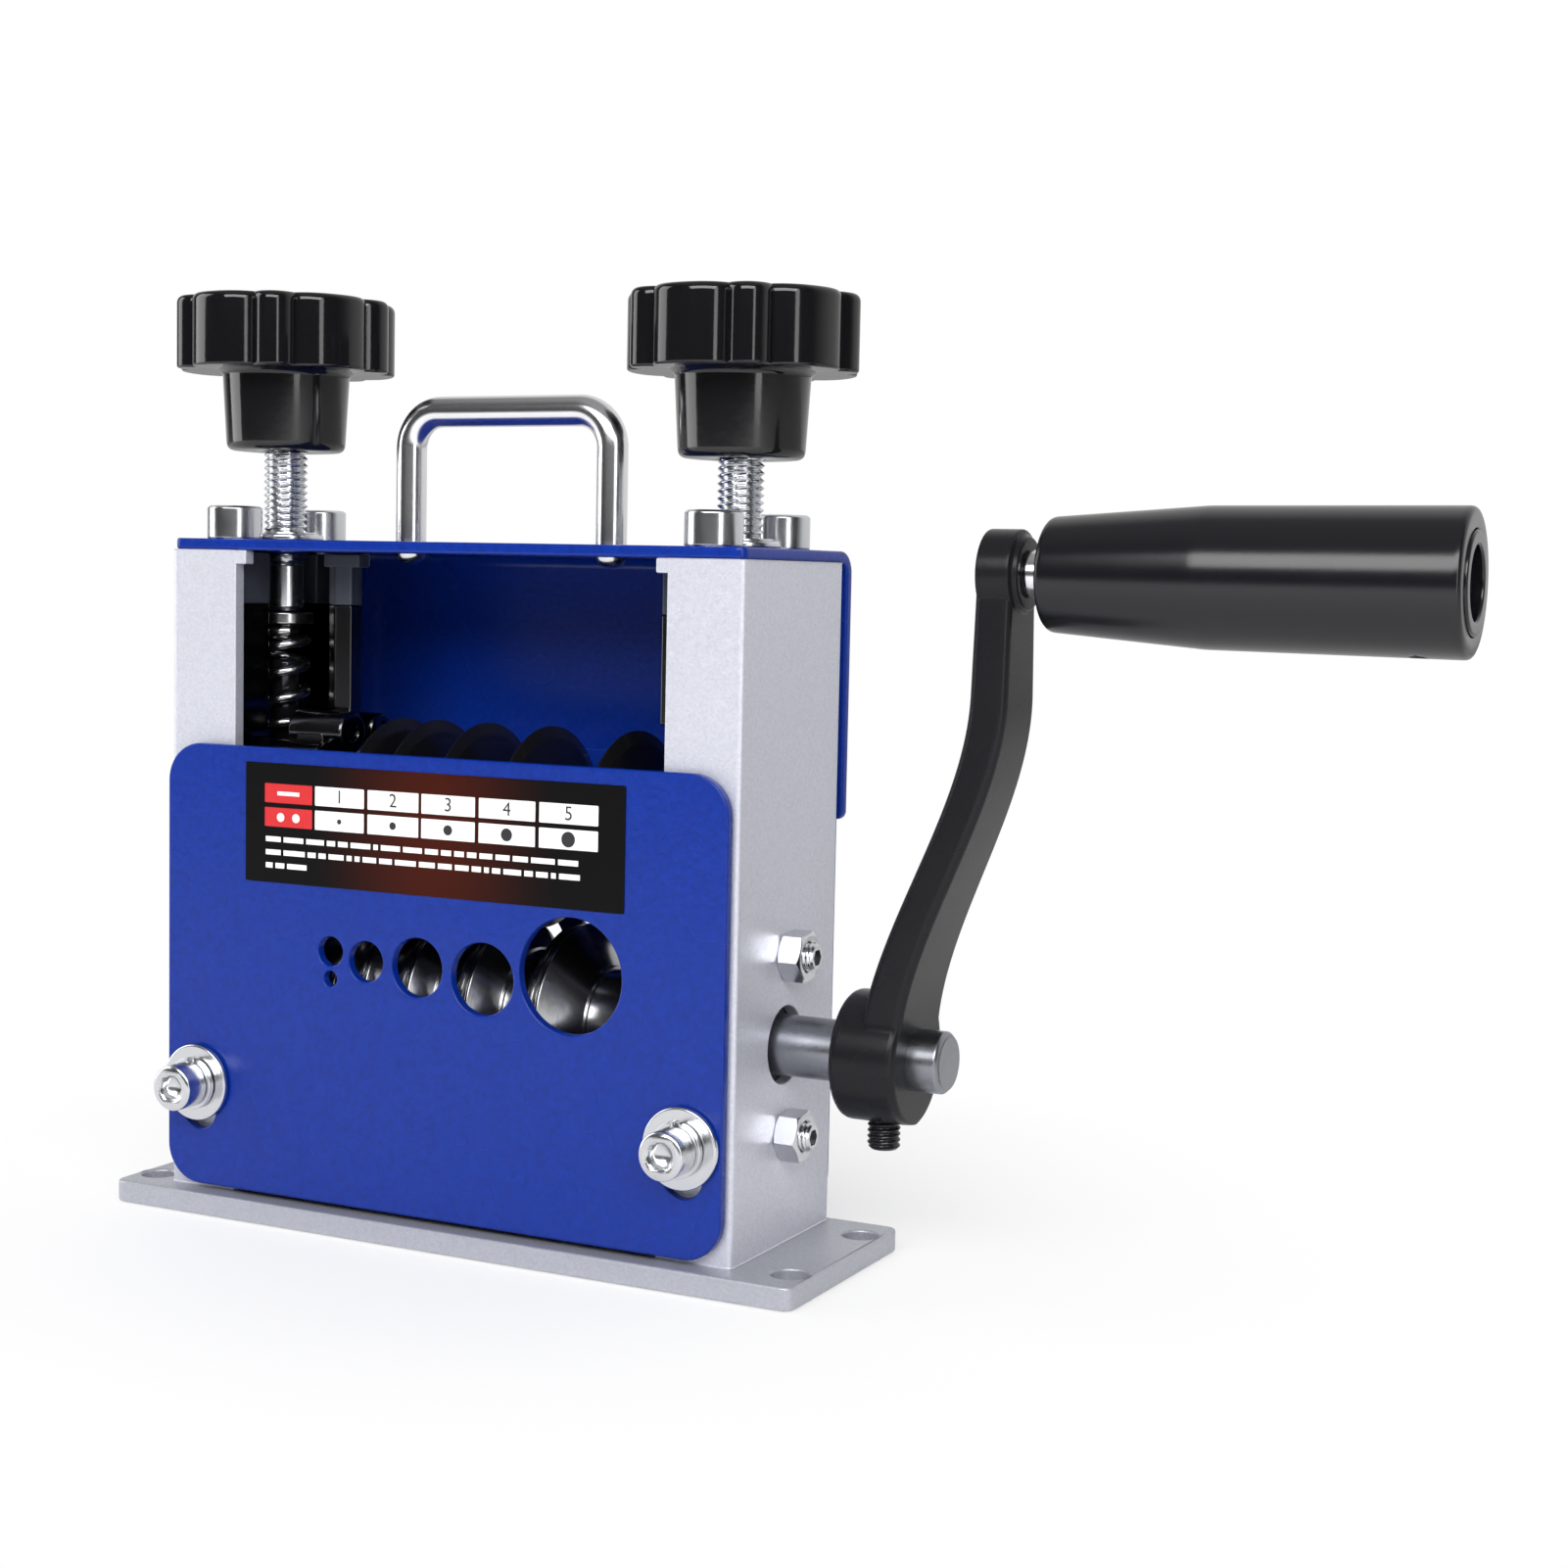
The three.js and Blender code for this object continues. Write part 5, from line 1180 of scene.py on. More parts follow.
@dataclass
class Label(Assembly):
    """The size label: plain channel numbers over dots that grow, and bars for its small print.

    Columns and rows are shares of the label's width and height, from its top left.
    """

    left: float = -39.8
    right: float = 38.5
    low: float = 61.9
    high: float = 83.3
    face: float = -21.3
    film: float = 0.15
    ink: float = 0.04
    head: tuple[float, float] = (0.055, 0.187)
    columns: tuple = (
        (0.195, 0.329), (0.339, 0.475), (0.483, 0.623), (0.633, 0.777), (0.787, 0.934)
    )
    rows: tuple = ((0.17, 0.33), (0.37, 0.53))
    print_lines: tuple = ((0.635, 0.88), (0.745, 0.87), (0.855, 0.17))
    print_start: float = 0.058
    print_stop: float = 0.937
    print_half: float = 0.022
    print_gap: float = 0.008
    digit_size: float = 3.4
    dash: tuple[float, float] = (2.4, 0.35)
    dot: float = 0.45
    dot_growth: float = 0.22
    head_dot: float = 0.8

    def _spot(self, share: tuple[float, float]) -> tuple[float, float]:
        """Turns shares of the label's width and height, from its top left, into X and Z."""
        return (
            self.left + share[0] * (self.right - self.left),
            self.high - share[1] * (self.high - self.low),
        )

    def _middle(self, span: tuple[float, float], row: tuple[float, float]) -> tuple[float, float]:
        """The middle of a cell in X and Z."""
        return self._spot((sum(span) / 2, sum(row) / 2))

    def _panel(self, shell: Shell, loop: Array, lift: float, ink: Ink) -> None:
        """Prints a flat loop at so many ink layers above the film."""
        back = self.face - self.film - (lift - 1) * self.ink
        shell.prism([loop], back - self.ink, back, 0.01, Axis.Y, ink.value)

    def _area(self, span: tuple[float, float], row: tuple[float, float]) -> Array:
        """The corners of an area given by its shares across and down."""
        (left, high), (right, low) = self._spot((span[0], row[0])), self._spot((span[1], row[1]))
        return rectangle(left, right, low, high)

    def _number(self, digit: str, place: tuple[float, float]) -> Piece:
        """One printed digit as a flat mesh.

        Args:
            digit: the digit.
            place: its middle in X and Z.

        Returns:
            The new object.
        """
        curve = bpy.data.curves.new(f"label_digit_{digit}", "FONT")
        curve.body = digit
        curve.size = self.digit_size * METRES
        curve.align_x = "CENTER"
        curve.align_y = "CENTER"
        curve.extrude = 0.01 * METRES
        drawn = bpy.data.objects.new(f"label_digit_{digit}", curve)
        bpy.context.scene.collection.objects.link(drawn)
        bpy.context.view_layer.update()
        depsgraph = bpy.context.evaluated_depsgraph_get()
        mesh = bpy.data.meshes.new_from_object(drawn.evaluated_get(depsgraph))
        bpy.data.objects.remove(drawn)
        y = self.face - self.film - 1.3 * self.ink
        middle = Vector((np.array([place[0], y, place[1]]) + MACHINE) * METRES)
        mesh.transform(Matrix.Translation(middle) @ Matrix.Rotation(math.pi / 2, 4, "X"))
        mesh.materials.clear()
        mesh.materials.append(self.finishes.materials["ink"])
        piece = bpy.data.objects.new(f"label_number_{digit}", mesh)
        bpy.context.scene.collection.objects.link(piece)
        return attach(piece, "lifting_guard")

    def _small_print(self, shell: Shell) -> None:
        """Prints short bars of random lengths where lines of words would stand.

        Args:
            shell: shell to add to.
        """
        words = iter(np.random.default_rng(7).uniform(0.012, 0.06, 60))
        for line, width in self.print_lines:
            place = self.print_start
            while place < width:
                stop = min(place + next(words), self.print_stop)
                row = (line - self.print_half, line + self.print_half)
                self._panel(shell, self._area((place, stop), row), 1, Ink.WHITE)
                place = stop + self.print_gap

    def build(self) -> None:
        """Makes the film, the table, its digits and dots and the bars below it."""
        outline = softened(rectangle(self.left, self.right, self.low, self.high), 0.4, 3)
        film = Shell().prism([outline], self.face - self.film, self.face + 0.01, 0.04, Axis.Y)
        self.add("label_film", film, "label", "lifting_guard")
        upper, lower = self.rows
        shell = Shell()
        for row in self.rows:
            for span in (self.head, *self.columns):
                cell = softened(self._area(span, row), 0.15, 2)
                self._panel(shell, cell, 1, Ink.RED if span is self.head else Ink.WHITE)
        for i, span in enumerate(self.columns):
            dot = circle(*self._middle(span, lower), self.dot + self.dot_growth * i, 32)
            self._panel(shell, dot, 2, Ink.DARK)
        x, z = self._middle(self.head, upper)
        wide, tall = self.dash
        self._panel(shell, rectangle(x - wide, x + wide, z - tall, z + tall), 2, Ink.WHITE)
        x, z = self._middle(self.head, lower)
        for way in (1, -1):
            self._panel(shell, circle(x + way * 1.68, z, self.head_dot, 32), 2, Ink.WHITE)
        self._small_print(shell)
        self.add("label_print", shell, "white", "lifting_guard", extra=("red", "ink"))
        for i, span in enumerate(self.columns):
            self.made.append(self._number(str(i + 1), self._middle(span, upper)))


def screw_shell(
    axis: Axis, sign: int, centre: Sequence[float], size: float, length: float, head: float,
    seat: float = 0.0,
) -> Shell:
    """A socket cap screw with its seat at the centre and its head towards sign along the axis.

    Args:
        axis: direction of the screw.
        sign: 1 where the head is on the axis's positive side, else -1.
        centre: the middle of the seat.
        size: thread diameter.
        length: length of the shank below the seat.
        head: height of the head.
        seat: height of the head's underside above the seat.

    Returns:
        The screw's shell.
    """
    radius, shank = size * 0.825, size / 2
    corners = [
        [shank - 0.4, -length], [shank, -length + 0.5], [shank, seat], [radius - 0.1, seat],
        [radius, seat + 0.25], [radius, seat + head - 0.35], [radius - 0.55, seat + head],
    ]
    profile = softened(corners, 0.22, 4, closed=False) * np.array([1, sign])
    flats = size * 0.83
    top, floor = sign * (seat + head), sign * (seat + head * 0.45)
    neck = top - sign * 0.25
    middle = np.asarray(centre)
    rim = stacked(axis, circle(0, 0, profile[-1, 0], 64), [top])[0] + middle
    mouth = stacked(axis, circle(0, 0, flats / math.sqrt(3) + 0.15, 64), (top, neck)) + middle
    walls = stacked(axis, hexagon(0, 0, flats, 0.2), (neck, floor)) + middle
    shell = Shell().turned(profile, axis, centre, open_end=True)
    return shell.flat([rim, mouth[0]]).grid(mouth).socket(mouth[1], walls)


@dataclass
class Fasteners(Assembly):
    """All screws, nuts, studs and washers that stay on the frame."""

    cover_top: float = 123.0
    cover_screw: tuple[float, float] = (49.4, 12.7)
    guard_screw: tuple[float, float] = (50.3, 24.0)
    guard_seat: float = -22.8
    rear_seat: float = 21.0
    stud_z: tuple[float, float] = (23.1, 54.1)
    rod_x: float = 47.7
    nut_flats: float = 8.0
    nut_height: float = 4.2
    nut_bore: float = 2.6
    nut_slope: float = 0.55
    nut_edge: float = 0.35
    stud: float = 2.45
    stud_depth: float = 0.28
    stud_pitch: float = 0.8
    stud_span: tuple[float, float] = (-11.0, 5.6)
    stud_socket: tuple[float, float] = (2.6, 2.2)
    split_section: tuple[float, float, float] = (2.75, 4.75, 1.15)
    split_rise: float = 0.35

    def _nut(self, side: Side, z: float) -> Shell:
        """A hexagon nut along X with its corners turned off.

        Round the nut the wall's radius is the hexagon's own; its height falls below the full
        height by the radius beyond the turned circle times a slope, on both faces.

        Args:
            side: the pillar that it stands on.
            z: height of its middle.

        Returns:
            The nut's shell.
        """
        start = math.radians(8)
        turn = angles(96, start)
        face, height = self.nut_flats / 2, self.nut_height
        bore, edge = self.nut_bore, self.nut_edge
        turned_radius = face * 0.97
        wall = face / np.cos(np.mod(turn - start, math.pi / 3) - math.pi / 6)
        drop = np.maximum(wall - turned_radius, 0) * self.nut_slope
        corners = (
            (bore, edge), (bore + edge, 0), (turned_radius, 0), (wall, drop),
            (wall, height - drop), (turned_radius, height), (bore + edge, height),
            (bore, height - edge), (bore, edge),
        )
        ones = np.ones_like(turn)
        radii, places = (np.stack([corner[i] * ones for corner in corners]) for i in (0, 1))
        across, up = radii * np.cos(turn), radii * np.sin(turn)
        rows = Axis.X.lay(across, up, side.value * (PILLAR_X + places))
        return Shell().grid(rows).moved((0, 0, z))

    def _stud(self, side: Side, z: float) -> Shell:
        """A threaded stud with a hexagon socket in its outer end.

        Args:
            side: the pillar that it stands on.
            z: height of its middle.

        Returns:
            The stud's shell.
        """
        inner, outer = (PILLAR_X + reach for reach in self.stud_span)
        flats, deep = self.stud_socket
        rings = thread(self.stud, self.stud_depth, self.stud_pitch, inner, outer - 0.35, 32)
        tip = rings[-1:] * np.array([0.88, 0.88, 1]) + np.array([0, 0, 0.35])
        rings = side.value * np.concatenate([rings, tip])[..., [2, 0, 1]]
        places = (side.value * outer, side.value * (outer - deep))
        walls = stacked(Axis.X, hexagon(0, 0, flats), places)
        return Shell().grid(rings).face(rings[0]).socket(rings[-1], walls).moved((0, 0, z))

    def _split_washer(self, shell: Shell, x: float) -> Shell:
        """A spring washer: a square section carried nearly round and raised a little.

        Args:
            shell: shell to add to.
            x: place of its middle.

        Returns:
            The shell.
        """
        bore, rim, thick = self.split_section
        turn = np.linspace(math.radians(98), math.radians(440), 60)
        corners = softened(rectangle(bore, rim, 0, thick), 0.18, 2)
        rise = (turn - turn[0])[:, None] / FULL_TURN * self.split_rise
        radius = corners[None, :, 0]
        across = x + radius * np.cos(turn)[:, None]
        up = self.guard_screw[1] + radius * np.sin(turn)[:, None]
        along = self.guard_seat - corners[None, :, 1] - rise + 0.02
        return shell.loft(Axis.Y.lay(across, up, along))

    def _rod_washer(self, side: Side) -> Shell:
        """The stepped washer that lies round an adjusting rod.

        Args:
            side: the rod's side.

        Returns:
            The washer's shell.
        """
        centre = (side.value * self.rod_x, 0, 0)
        foot, step, top = self.cover_top + np.array([0.0, 1.15, 1.6])
        shell = Shell().washer(Axis.Z, centre, (14.0, 8.3), (foot, step), 0.4)
        return shell.washer(Axis.Z, centre, (11.6, 8.3), (step, top), 0.2)

    def build(self) -> None:
        """Makes every fastener."""
        cover_x, cover_y = self.cover_screw
        for side in Side:
            label = side.label
            for place, sign in (("front", -1), ("rear", 1)):
                centre = (side.value * cover_x, sign * cover_y, self.cover_top)
                shell = screw_shell(Axis.Z, 1, centre, size=6.0, length=10.5, head=6.0)
                self.dress(f"{label}_{place}_cover_screw", shell, "zinc")
            x, z, seat = side.value * self.guard_screw[0], self.guard_screw[1], self.guard_seat
            centre = (x, seat, z)
            shell = screw_shell(Axis.Y, -1, centre, size=5.0, length=9.8, head=5.0, seat=1.5)
            self.dress(f"{label}_guard_screw", self._split_washer(shell, x), "zinc")
            shell = Shell().washer(Axis.Y, (x, 0, z), (14.0, 5.4), (seat, seat + 1.2), 0.45)
            self.dress(f"{label}_guard_washer", shell, "zinc")
            centre = (x, self.rear_seat, z)
            shell = screw_shell(Axis.Y, 1, centre, size=5.0, length=8.0, head=3.0)
            self.dress(f"{label}_rear_screw", shell, "zinc")
            for place, z in zip(("lower", "upper"), self.stud_z):
                nut, stud = self._nut(side, z), self._stud(side, z)
                self.dress(f"{label}_{place}_nut", nut, "zinc", shading=Shading.CREASED)
                self.dress(f"{label}_{place}_stud", stud, "zinc", shading=Shading.CREASED)
            self.dress(f"{label}_rod_washer", self._rod_washer(side), "zinc")


@dataclass
class CarryHandle(Assembly):
    """The bent bar on the cover and the dome screws that hold it."""

    shift: float = 1.5
    span: float = 42.0
    rise: float = 26.3
    bar: float = 5.5
    bend: float = 6.5
    seat: float = 123.0
    screw_seat: float = 121.0
    dome: tuple[float, float] = (2.7, 1.9)
    shank: tuple[float, float] = (1.5, 9.0)

    def _bar(self) -> Shell:
        """The bar, a circle carried up, round two quarter bends and down again.

        Returns:
            The bar's shell.
        """
        half, bend = self.span / 2, self.bend
        top = self.rise - self.bar / 2
        turn = np.linspace(0, math.pi / 2, 17)
        corner = [-half + bend - bend * np.cos(turn), top - bend + bend * np.sin(turn)]
        leg = [np.full(5, -half), np.linspace(0, (top - bend) * 0.98, 5)]
        left = np.concatenate([np.stack(leg, axis=-1), np.stack(corner, axis=-1)])
        line = np.concatenate([left, left[::-1] * np.array([-1, 1])])
        path = Axis.Y.lay(line[:, 0] + self.shift, line[:, 1] + self.seat, np.zeros(len(line)))
        return Shell().pipe(path, np.array([0.0, 1.0, 0.0]), self.bar / 2, 40)

    def build(self) -> None:
        """Makes the bar and its two screws."""
        self.dress("carry_handle", self._bar(), "polished", shading=Shading.CREASED)
        (radius, height), (shank, length) = self.dome, self.shank
        arc = np.linspace(0.08, math.pi / 2, 10)
        dome = np.stack([radius * np.sin(arc), -height * np.cos(arc)], axis=-1)
        profile = np.concatenate([dome, [[shank, 0.0], [shank, length]]])
        for side in Side:
            centre = (self.shift + side.value * self.span / 2, 0, self.screw_seat)
            shell = Shell().turned(profile, Axis.Z, centre, 40)
            name = f"{side.label}_handle_screw"
            self.dress(name, shell, "zinc", shading=Shading.CREASED)


@dataclass
class Adjuster(Assembly):
    """A lobed knob on its threaded rod."""

    side: Side
    low: float
    rod_x: float = 47.7
    hub_height: float = 14.5
    hub_low: float = 10.8
    hub_top: float = 11.6
    head_height: float = 13.2
    radius: float = 20.0
    bore: float = 4.15
    lobe_pairs: int = 5
    lobe_depth: float = 2.2
    lobe_turn: float = 2 / 3
    wide: float = 2 / 3
    rod: float = 8.0
    rod_end: float = 6.8
    rod_low: float = 110.0
    rod_step: float = 118.5

    def _swing(self, turn: Array) -> Array:
        """How far the rim lies inside its full radius.

        Wide and narrow lobes take turns and meet in sharp valleys. Across a lobe, from -1 to 1,
        the rim falls by the lobe depth times the distance from its middle, cubed on a wide lobe
        and squared on a narrow one.

        Args:
            turn: angles round the knob.

        Returns:
            The rim's distance from the full radius at each angle.
        """
        place = np.mod(turn / FULL_TURN * self.lobe_pairs + self.lobe_turn, 1.0)
        on_wide = place < self.wide
        across = np.where(on_wide, place / self.wide, (place - self.wide) / (1 - self.wide))
        return self.lobe_depth * np.abs(2 * across - 1) ** np.where(on_wide, 3.0, 2.0)

    def _knob(self) -> Shell:
        """The knob: a lobed head on a round hub.

        The swing of the rim fades towards the middle of the top and of the underside.

        Returns:
            The knob's shell.
        """
        turn = angles(self.lobe_pairs * 72)
        base, rim, bore = self.low + self.hub_height, self.radius, self.bore
        top = self.low + self.hub_height + self.head_height
        head = [
            [self.hub_top + 0.9, base + 0.2], [rim - 0.3, base], [rim, base + 0.3],
            [rim, top - 0.8], [rim - 0.8, top], [rim - 7.0, top], [rim - 7.6, top - 0.5],
            [1.0, top - 0.5],
        ]
        hub = [
            [bore, self.low + 3.0], [bore, self.low], [self.hub_low, self.low],
            [self.hub_top, base - 0.4], [self.hub_top + 0.9, base + 0.2],
        ]
        head_edges = [0, 0.3, 0.3, 0.7, 0.7, 0.5, 0.5, 0]
        profile = np.concatenate([
            softened(hub, [0, 0.4, 1.6, 0.5, 0], 5, closed=False),
            softened(head, head_edges, 5, closed=False)[1:],
        ])
        reach = np.clip((profile[:, 0] - rim + 6.0) / 4.5, 0, 1)
        fade = (reach**2 * (3 - 2 * reach))[:, None]
        radius = profile[:, :1] - fade * self._swing(turn)[None]
        rows = Axis.Z.lay(radius * np.cos(turn), radius * np.sin(turn), profile[:, 1:])
        return Shell().loft(rows).moved((self.side.value * self.rod_x, 0, 0))

    def _rod(self) -> Shell:
        """The rod: a thread above and a plain thinner end below.

        Returns:
            The rod's shell.
        """
        rings = thread(self.rod / 2, 0.62, 1.25, self.rod_step, self.low + 5.0, 48)
        radius = self.rod_end / 2
        foot = [
            [radius - 0.8, self.rod_low], [radius, self.rod_low + 0.8],
            [radius, self.rod_step - 0.2],
        ]
        shell = Shell().loft(rings).turned(softened(foot, 0.15, 3, closed=False), steps=48)
        return shell.moved((self.side.value * self.rod_x, 0, 0))

    def build(self) -> None:
        """Makes the knob and the rod."""
        label = self.side.label
        body = f"{label}_adjuster"
        self.dress(f"{label}_knob", self._knob(), "gloss", body, Shading.CREASED)
        self.dress(f"{label}_threaded_rod", self._rod(), "zinc", body, Shading.CREASED)


@dataclass
class PressureUnit(Assembly):
    """Nut block, guide, thrust pad, spring and bearings behind one pillar.

    X counts inwards from the pillar's outer face. Each round stop has its radius, its start and
    end, its Y and its height above the blade shaft.
    """

    side: Side
    slot_end: float
    wide: bool
    wall: float = 2.5
    rod_u: float = 10.8
    slot_start: float = 5.3
    cheek: float = 13.5
    cheek_low: float = 87.8
    slot_front: float = 8.0
    rail_width: float = 6.2
    rail_back: float = 2.2
    chamfer: tuple[float, float] = (2.5, 1.7)
    leaning_width: float = 2.6
    leaning_slope: float = 0.727
    inner: float = 16.5
    back_face: float = 12.3
    guide_front: float = 5.5
    guide_low: float = 62.0
    rail_low: float = 92.5
    block_low: float = 111.4
    block_high: float = 120.7
    spring_low: float = 86.3
    spring_top: float = 107.3
    spring_radius: float = 3.9
    wire: float = 1.8
    closed_pitch: float = 2.4
    open_turns: float = 2.9
    shaft_z: float = 73.0
    stops: tuple = (
        (3.9, 20.3, 32.4, -8.0, 15.4),
        (3.2, 20.3, 31.5, 2.0, 15.4),
        (3.9, 16.9, 29.5, -12.0, 9.9),
    )
    stop_bore: float = 1.6
    housing: tuple[float, float, float] = (12.0, 6.5, 14.5)
    bore: float = 5.2
    spigot: tuple[float, float, float] = (2.5, 84.0, 101.0)
    pad: tuple[float, float] = (5.2, 2.5)
    lower_bearing: tuple = ((2.5, -11.0, 17.6), (12.5, 11.0, 59.6))

    @property
    def reach(self) -> float:
        """How far the rail reaches in from the pillar's outer face."""
        return self.slot_end + self.rail_width

    def _railed(self, shell: Shell, low: float, high: float) -> Shell:
        """Adds a back wall, a leaning wall and the rail at its front edge.

        The leaning wall's far side draws back from the rail's by the slope times the way back.

        Args:
            shell: shell to add to.
            low: height of the lower end.
            high: height of the upper end.

        Returns:
            The shell.
        """
        front, rail, reach = -self.guide_front, -self.rail_back, self.reach
        lean = reach - (np.array([self.back_face, self.inner]) - rail) * self.leaning_slope
        wide, deep = self.chamfer
        outline = [
            [self.wall, self.inner], [self.wall, self.back_face],
            [lean[0] - self.leaning_width, self.back_face], [reach - self.leaning_width, rail],
            [self.slot_end, rail], [self.slot_end, front + deep], [self.slot_end + wide, front],
            [reach, front], [reach, rail], [lean[1], self.inner],
        ]
        return shell.prism([softened(outline, 0.45, 4)], low, high, 0.35)

    def _nut_block(self) -> Shell:
        """A block with an open slot for the pad; the wide one has a plate on its rail.

        Returns:
            The block's shell.
        """
        low, high, inner, wall = self.block_low, self.block_high, self.inner, self.wall
        within, under = low + 0.02, high - 0.02
        shell = self._railed(Shell(), low, high)
        shell.box((wall, -inner, low), (self.cheek, -self.slot_front, high), 0.35)
        shell.box((wall, -self.slot_front - 0.3, within), (self.slot_start, 6.3, under), 0.3)
        shell.box((wall, 6.0, within), (self.cheek, inner - 0.02, under), 0.35)
        if self.wide:
            corner = (self.slot_end, -self.guide_front - 0.04, high - 2.4)
            shell.box(corner, (self.reach + 1.7, -self.rail_back + 0.04, under), 0.3)
        return shell

    def _guide(self) -> Shell:
        """Walls along the pillar and the back, a cheek and a rail, with stops on a wide one.

        Returns:
            The guide's shell.
        """
        wall, cheek, foot, slot = self.wall, self.cheek, self.guide_low, self.slot_start
        front, top, gap = -self.guide_front, self.block_low, self.slot_front
        shell = self._railed(Shell(), self.rail_low, top)
        shell.box((wall, self.back_face, foot), (cheek, self.inner - 0.02, top - 0.02), 0.3)
        shell.box((wall, front, foot), (slot, 12.8, top - 0.02), 0.45)
        shell.box((wall, 0.3 - gap, self.cheek_low), (slot, 0.0, top - 0.04), 0.3)
        shell.box((wall, -self.inner, self.cheek_low), (cheek, -gap, top), 0.45)
        if not self.wide:
            return shell
        bore, edges = self.stop_bore, [0, 0.3, 0.7, 0.7, 0.3, 0]
        for radius, start, stop, y, rise in self.stops:
            profile = [
                [bore, start + 0.5], [bore, start], [radius, start],
                [radius, stop], [bore, stop], [bore, stop - 0.5],
            ]
            centre = (0, y, self.shaft_z + rise)
            shell.turned(softened(profile, edges, 4, closed=False), Axis.X, centre)
        upper, lower = self.stops[0], self.stops[2]
        high, low = self.shaft_z + upper[4], self.shaft_z + lower[4]
        shell.box((22.5, upper[3], high - 1.6), (28.5, self.stops[1][3], high + 1.6), 0.4)
        shell.box((22.5, lower[3], low), (28.5, upper[3], high), 0.4)
        corner = (self.reach, -self.rail_back, self.rail_low + 0.5)
        return shell.box((26.5, front, high), corner, 0.4)

    def _spring(self) -> Piece:
        """A wire wound on a helix with close end turns.

        The height grows by the closed pitch over the first and the last turn, and evenly over
        the open turns between them.

        Returns:
            The new object.
        """
        turns = self.open_turns + 2.0
        turn = np.linspace(0, turns, int(turns * 48))
        low, high = self.spring_low + self.wire / 2, self.spring_top - self.wire / 2
        open_rise = high - low - 2 * self.closed_pitch
        ends = np.minimum(turn, 1.0) + np.maximum(turn - 1.0 - self.open_turns, 0)
        middle = np.clip(turn - 1.0, 0, self.open_turns)
        z = low + ends * self.closed_pitch + middle / self.open_turns * open_rise
        angle = turn * FULL_TURN
        centre = self.side.value * (PILLAR_X - self.rod_u)
        cosine, sine, radius = np.cos(angle), np.sin(angle), self.spring_radius
        path = Axis.Z.lay(centre + radius * cosine, radius * sine, z)
        outward = Axis.Z.lay(cosine, sine, np.zeros_like(angle))
        shell = Shell().pipe(path, outward, self.wire / 2, 16)
        # The spring finish carries painted light: a pale metal in place of the black spring
        # steel.
        piece = self.dress(f"{self.side.label}_spring", shell, "spring", "", Shading.PLAIN)
        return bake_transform(piece)

    def _bearing(self) -> Shell:
        """A round housing with a bore, a spring seat and a spigot.

        Returns:
            The block's shell.
        """
        radius, start, end = self.housing
        housing = softened(rectangle(self.bore, radius, start, end), 0.5, 4)
        shell = Shell().turned(housing, Axis.X, (0, 0, self.shaft_z), hollow=True)
        foot, seat = self.shaft_z + 10.0, self.spring_low - 0.3
        shell.box((start, -4.8, foot), (end, 4.8, seat), 0.3)
        spigot, low, high = self.spigot
        profile = [[spigot - 0.6, high], [spigot, high - 0.6], [spigot, low]]
        centre = (self.rod_u, 0, 0)
        return shell.turned(softened(profile, 0.2, 3, closed=False), Axis.Z, centre, 32)

    def _pad(self) -> Shell:
        """The thrust pad: a disc with a spigot that centres the spring.

        Returns:
            The pad's shell.
        """
        disc, spigot = self.pad
        profile = [
            [spigot - 0.4, 105.6], [spigot, 106.0], [spigot, 107.6],
            [disc, 107.6], [disc, 109.7], [0.6, 109.7],
        ]
        centre = (self.side.value * (PILLAR_X - self.rod_u), 0, 0)
        return Shell().turned(softened(profile, 0.3, 4, closed=False), Axis.Z, centre, 48)

    def build(self) -> None:
        """Makes the unit's pieces."""
        label, inward = self.side.label, self.side.inward
        self.dress(f"{label}_nut_block", self._nut_block().mapped(inward), "slate")
        # The guide's rail finish and the pad's spring finish carry painted light: pale metal in
        # place of their black steel.
        self.dress(f"{label}_guide_frame", self._guide().mapped(inward), "rail")
        self.dress(f"{label}_thrust_pad", self._pad(), "spring", "pressure_pads")
        upper = self._bearing().mapped(inward)
        self.dress(f"{label}_upper_bearing", upper, "black_steel", "blade_carriage")
        lower = Shell().box(*self.lower_bearing, 0.5).mapped(inward)
        self.dress(f"{label}_lower_bearing", lower, "slate")
        self.made.append(self._spring())


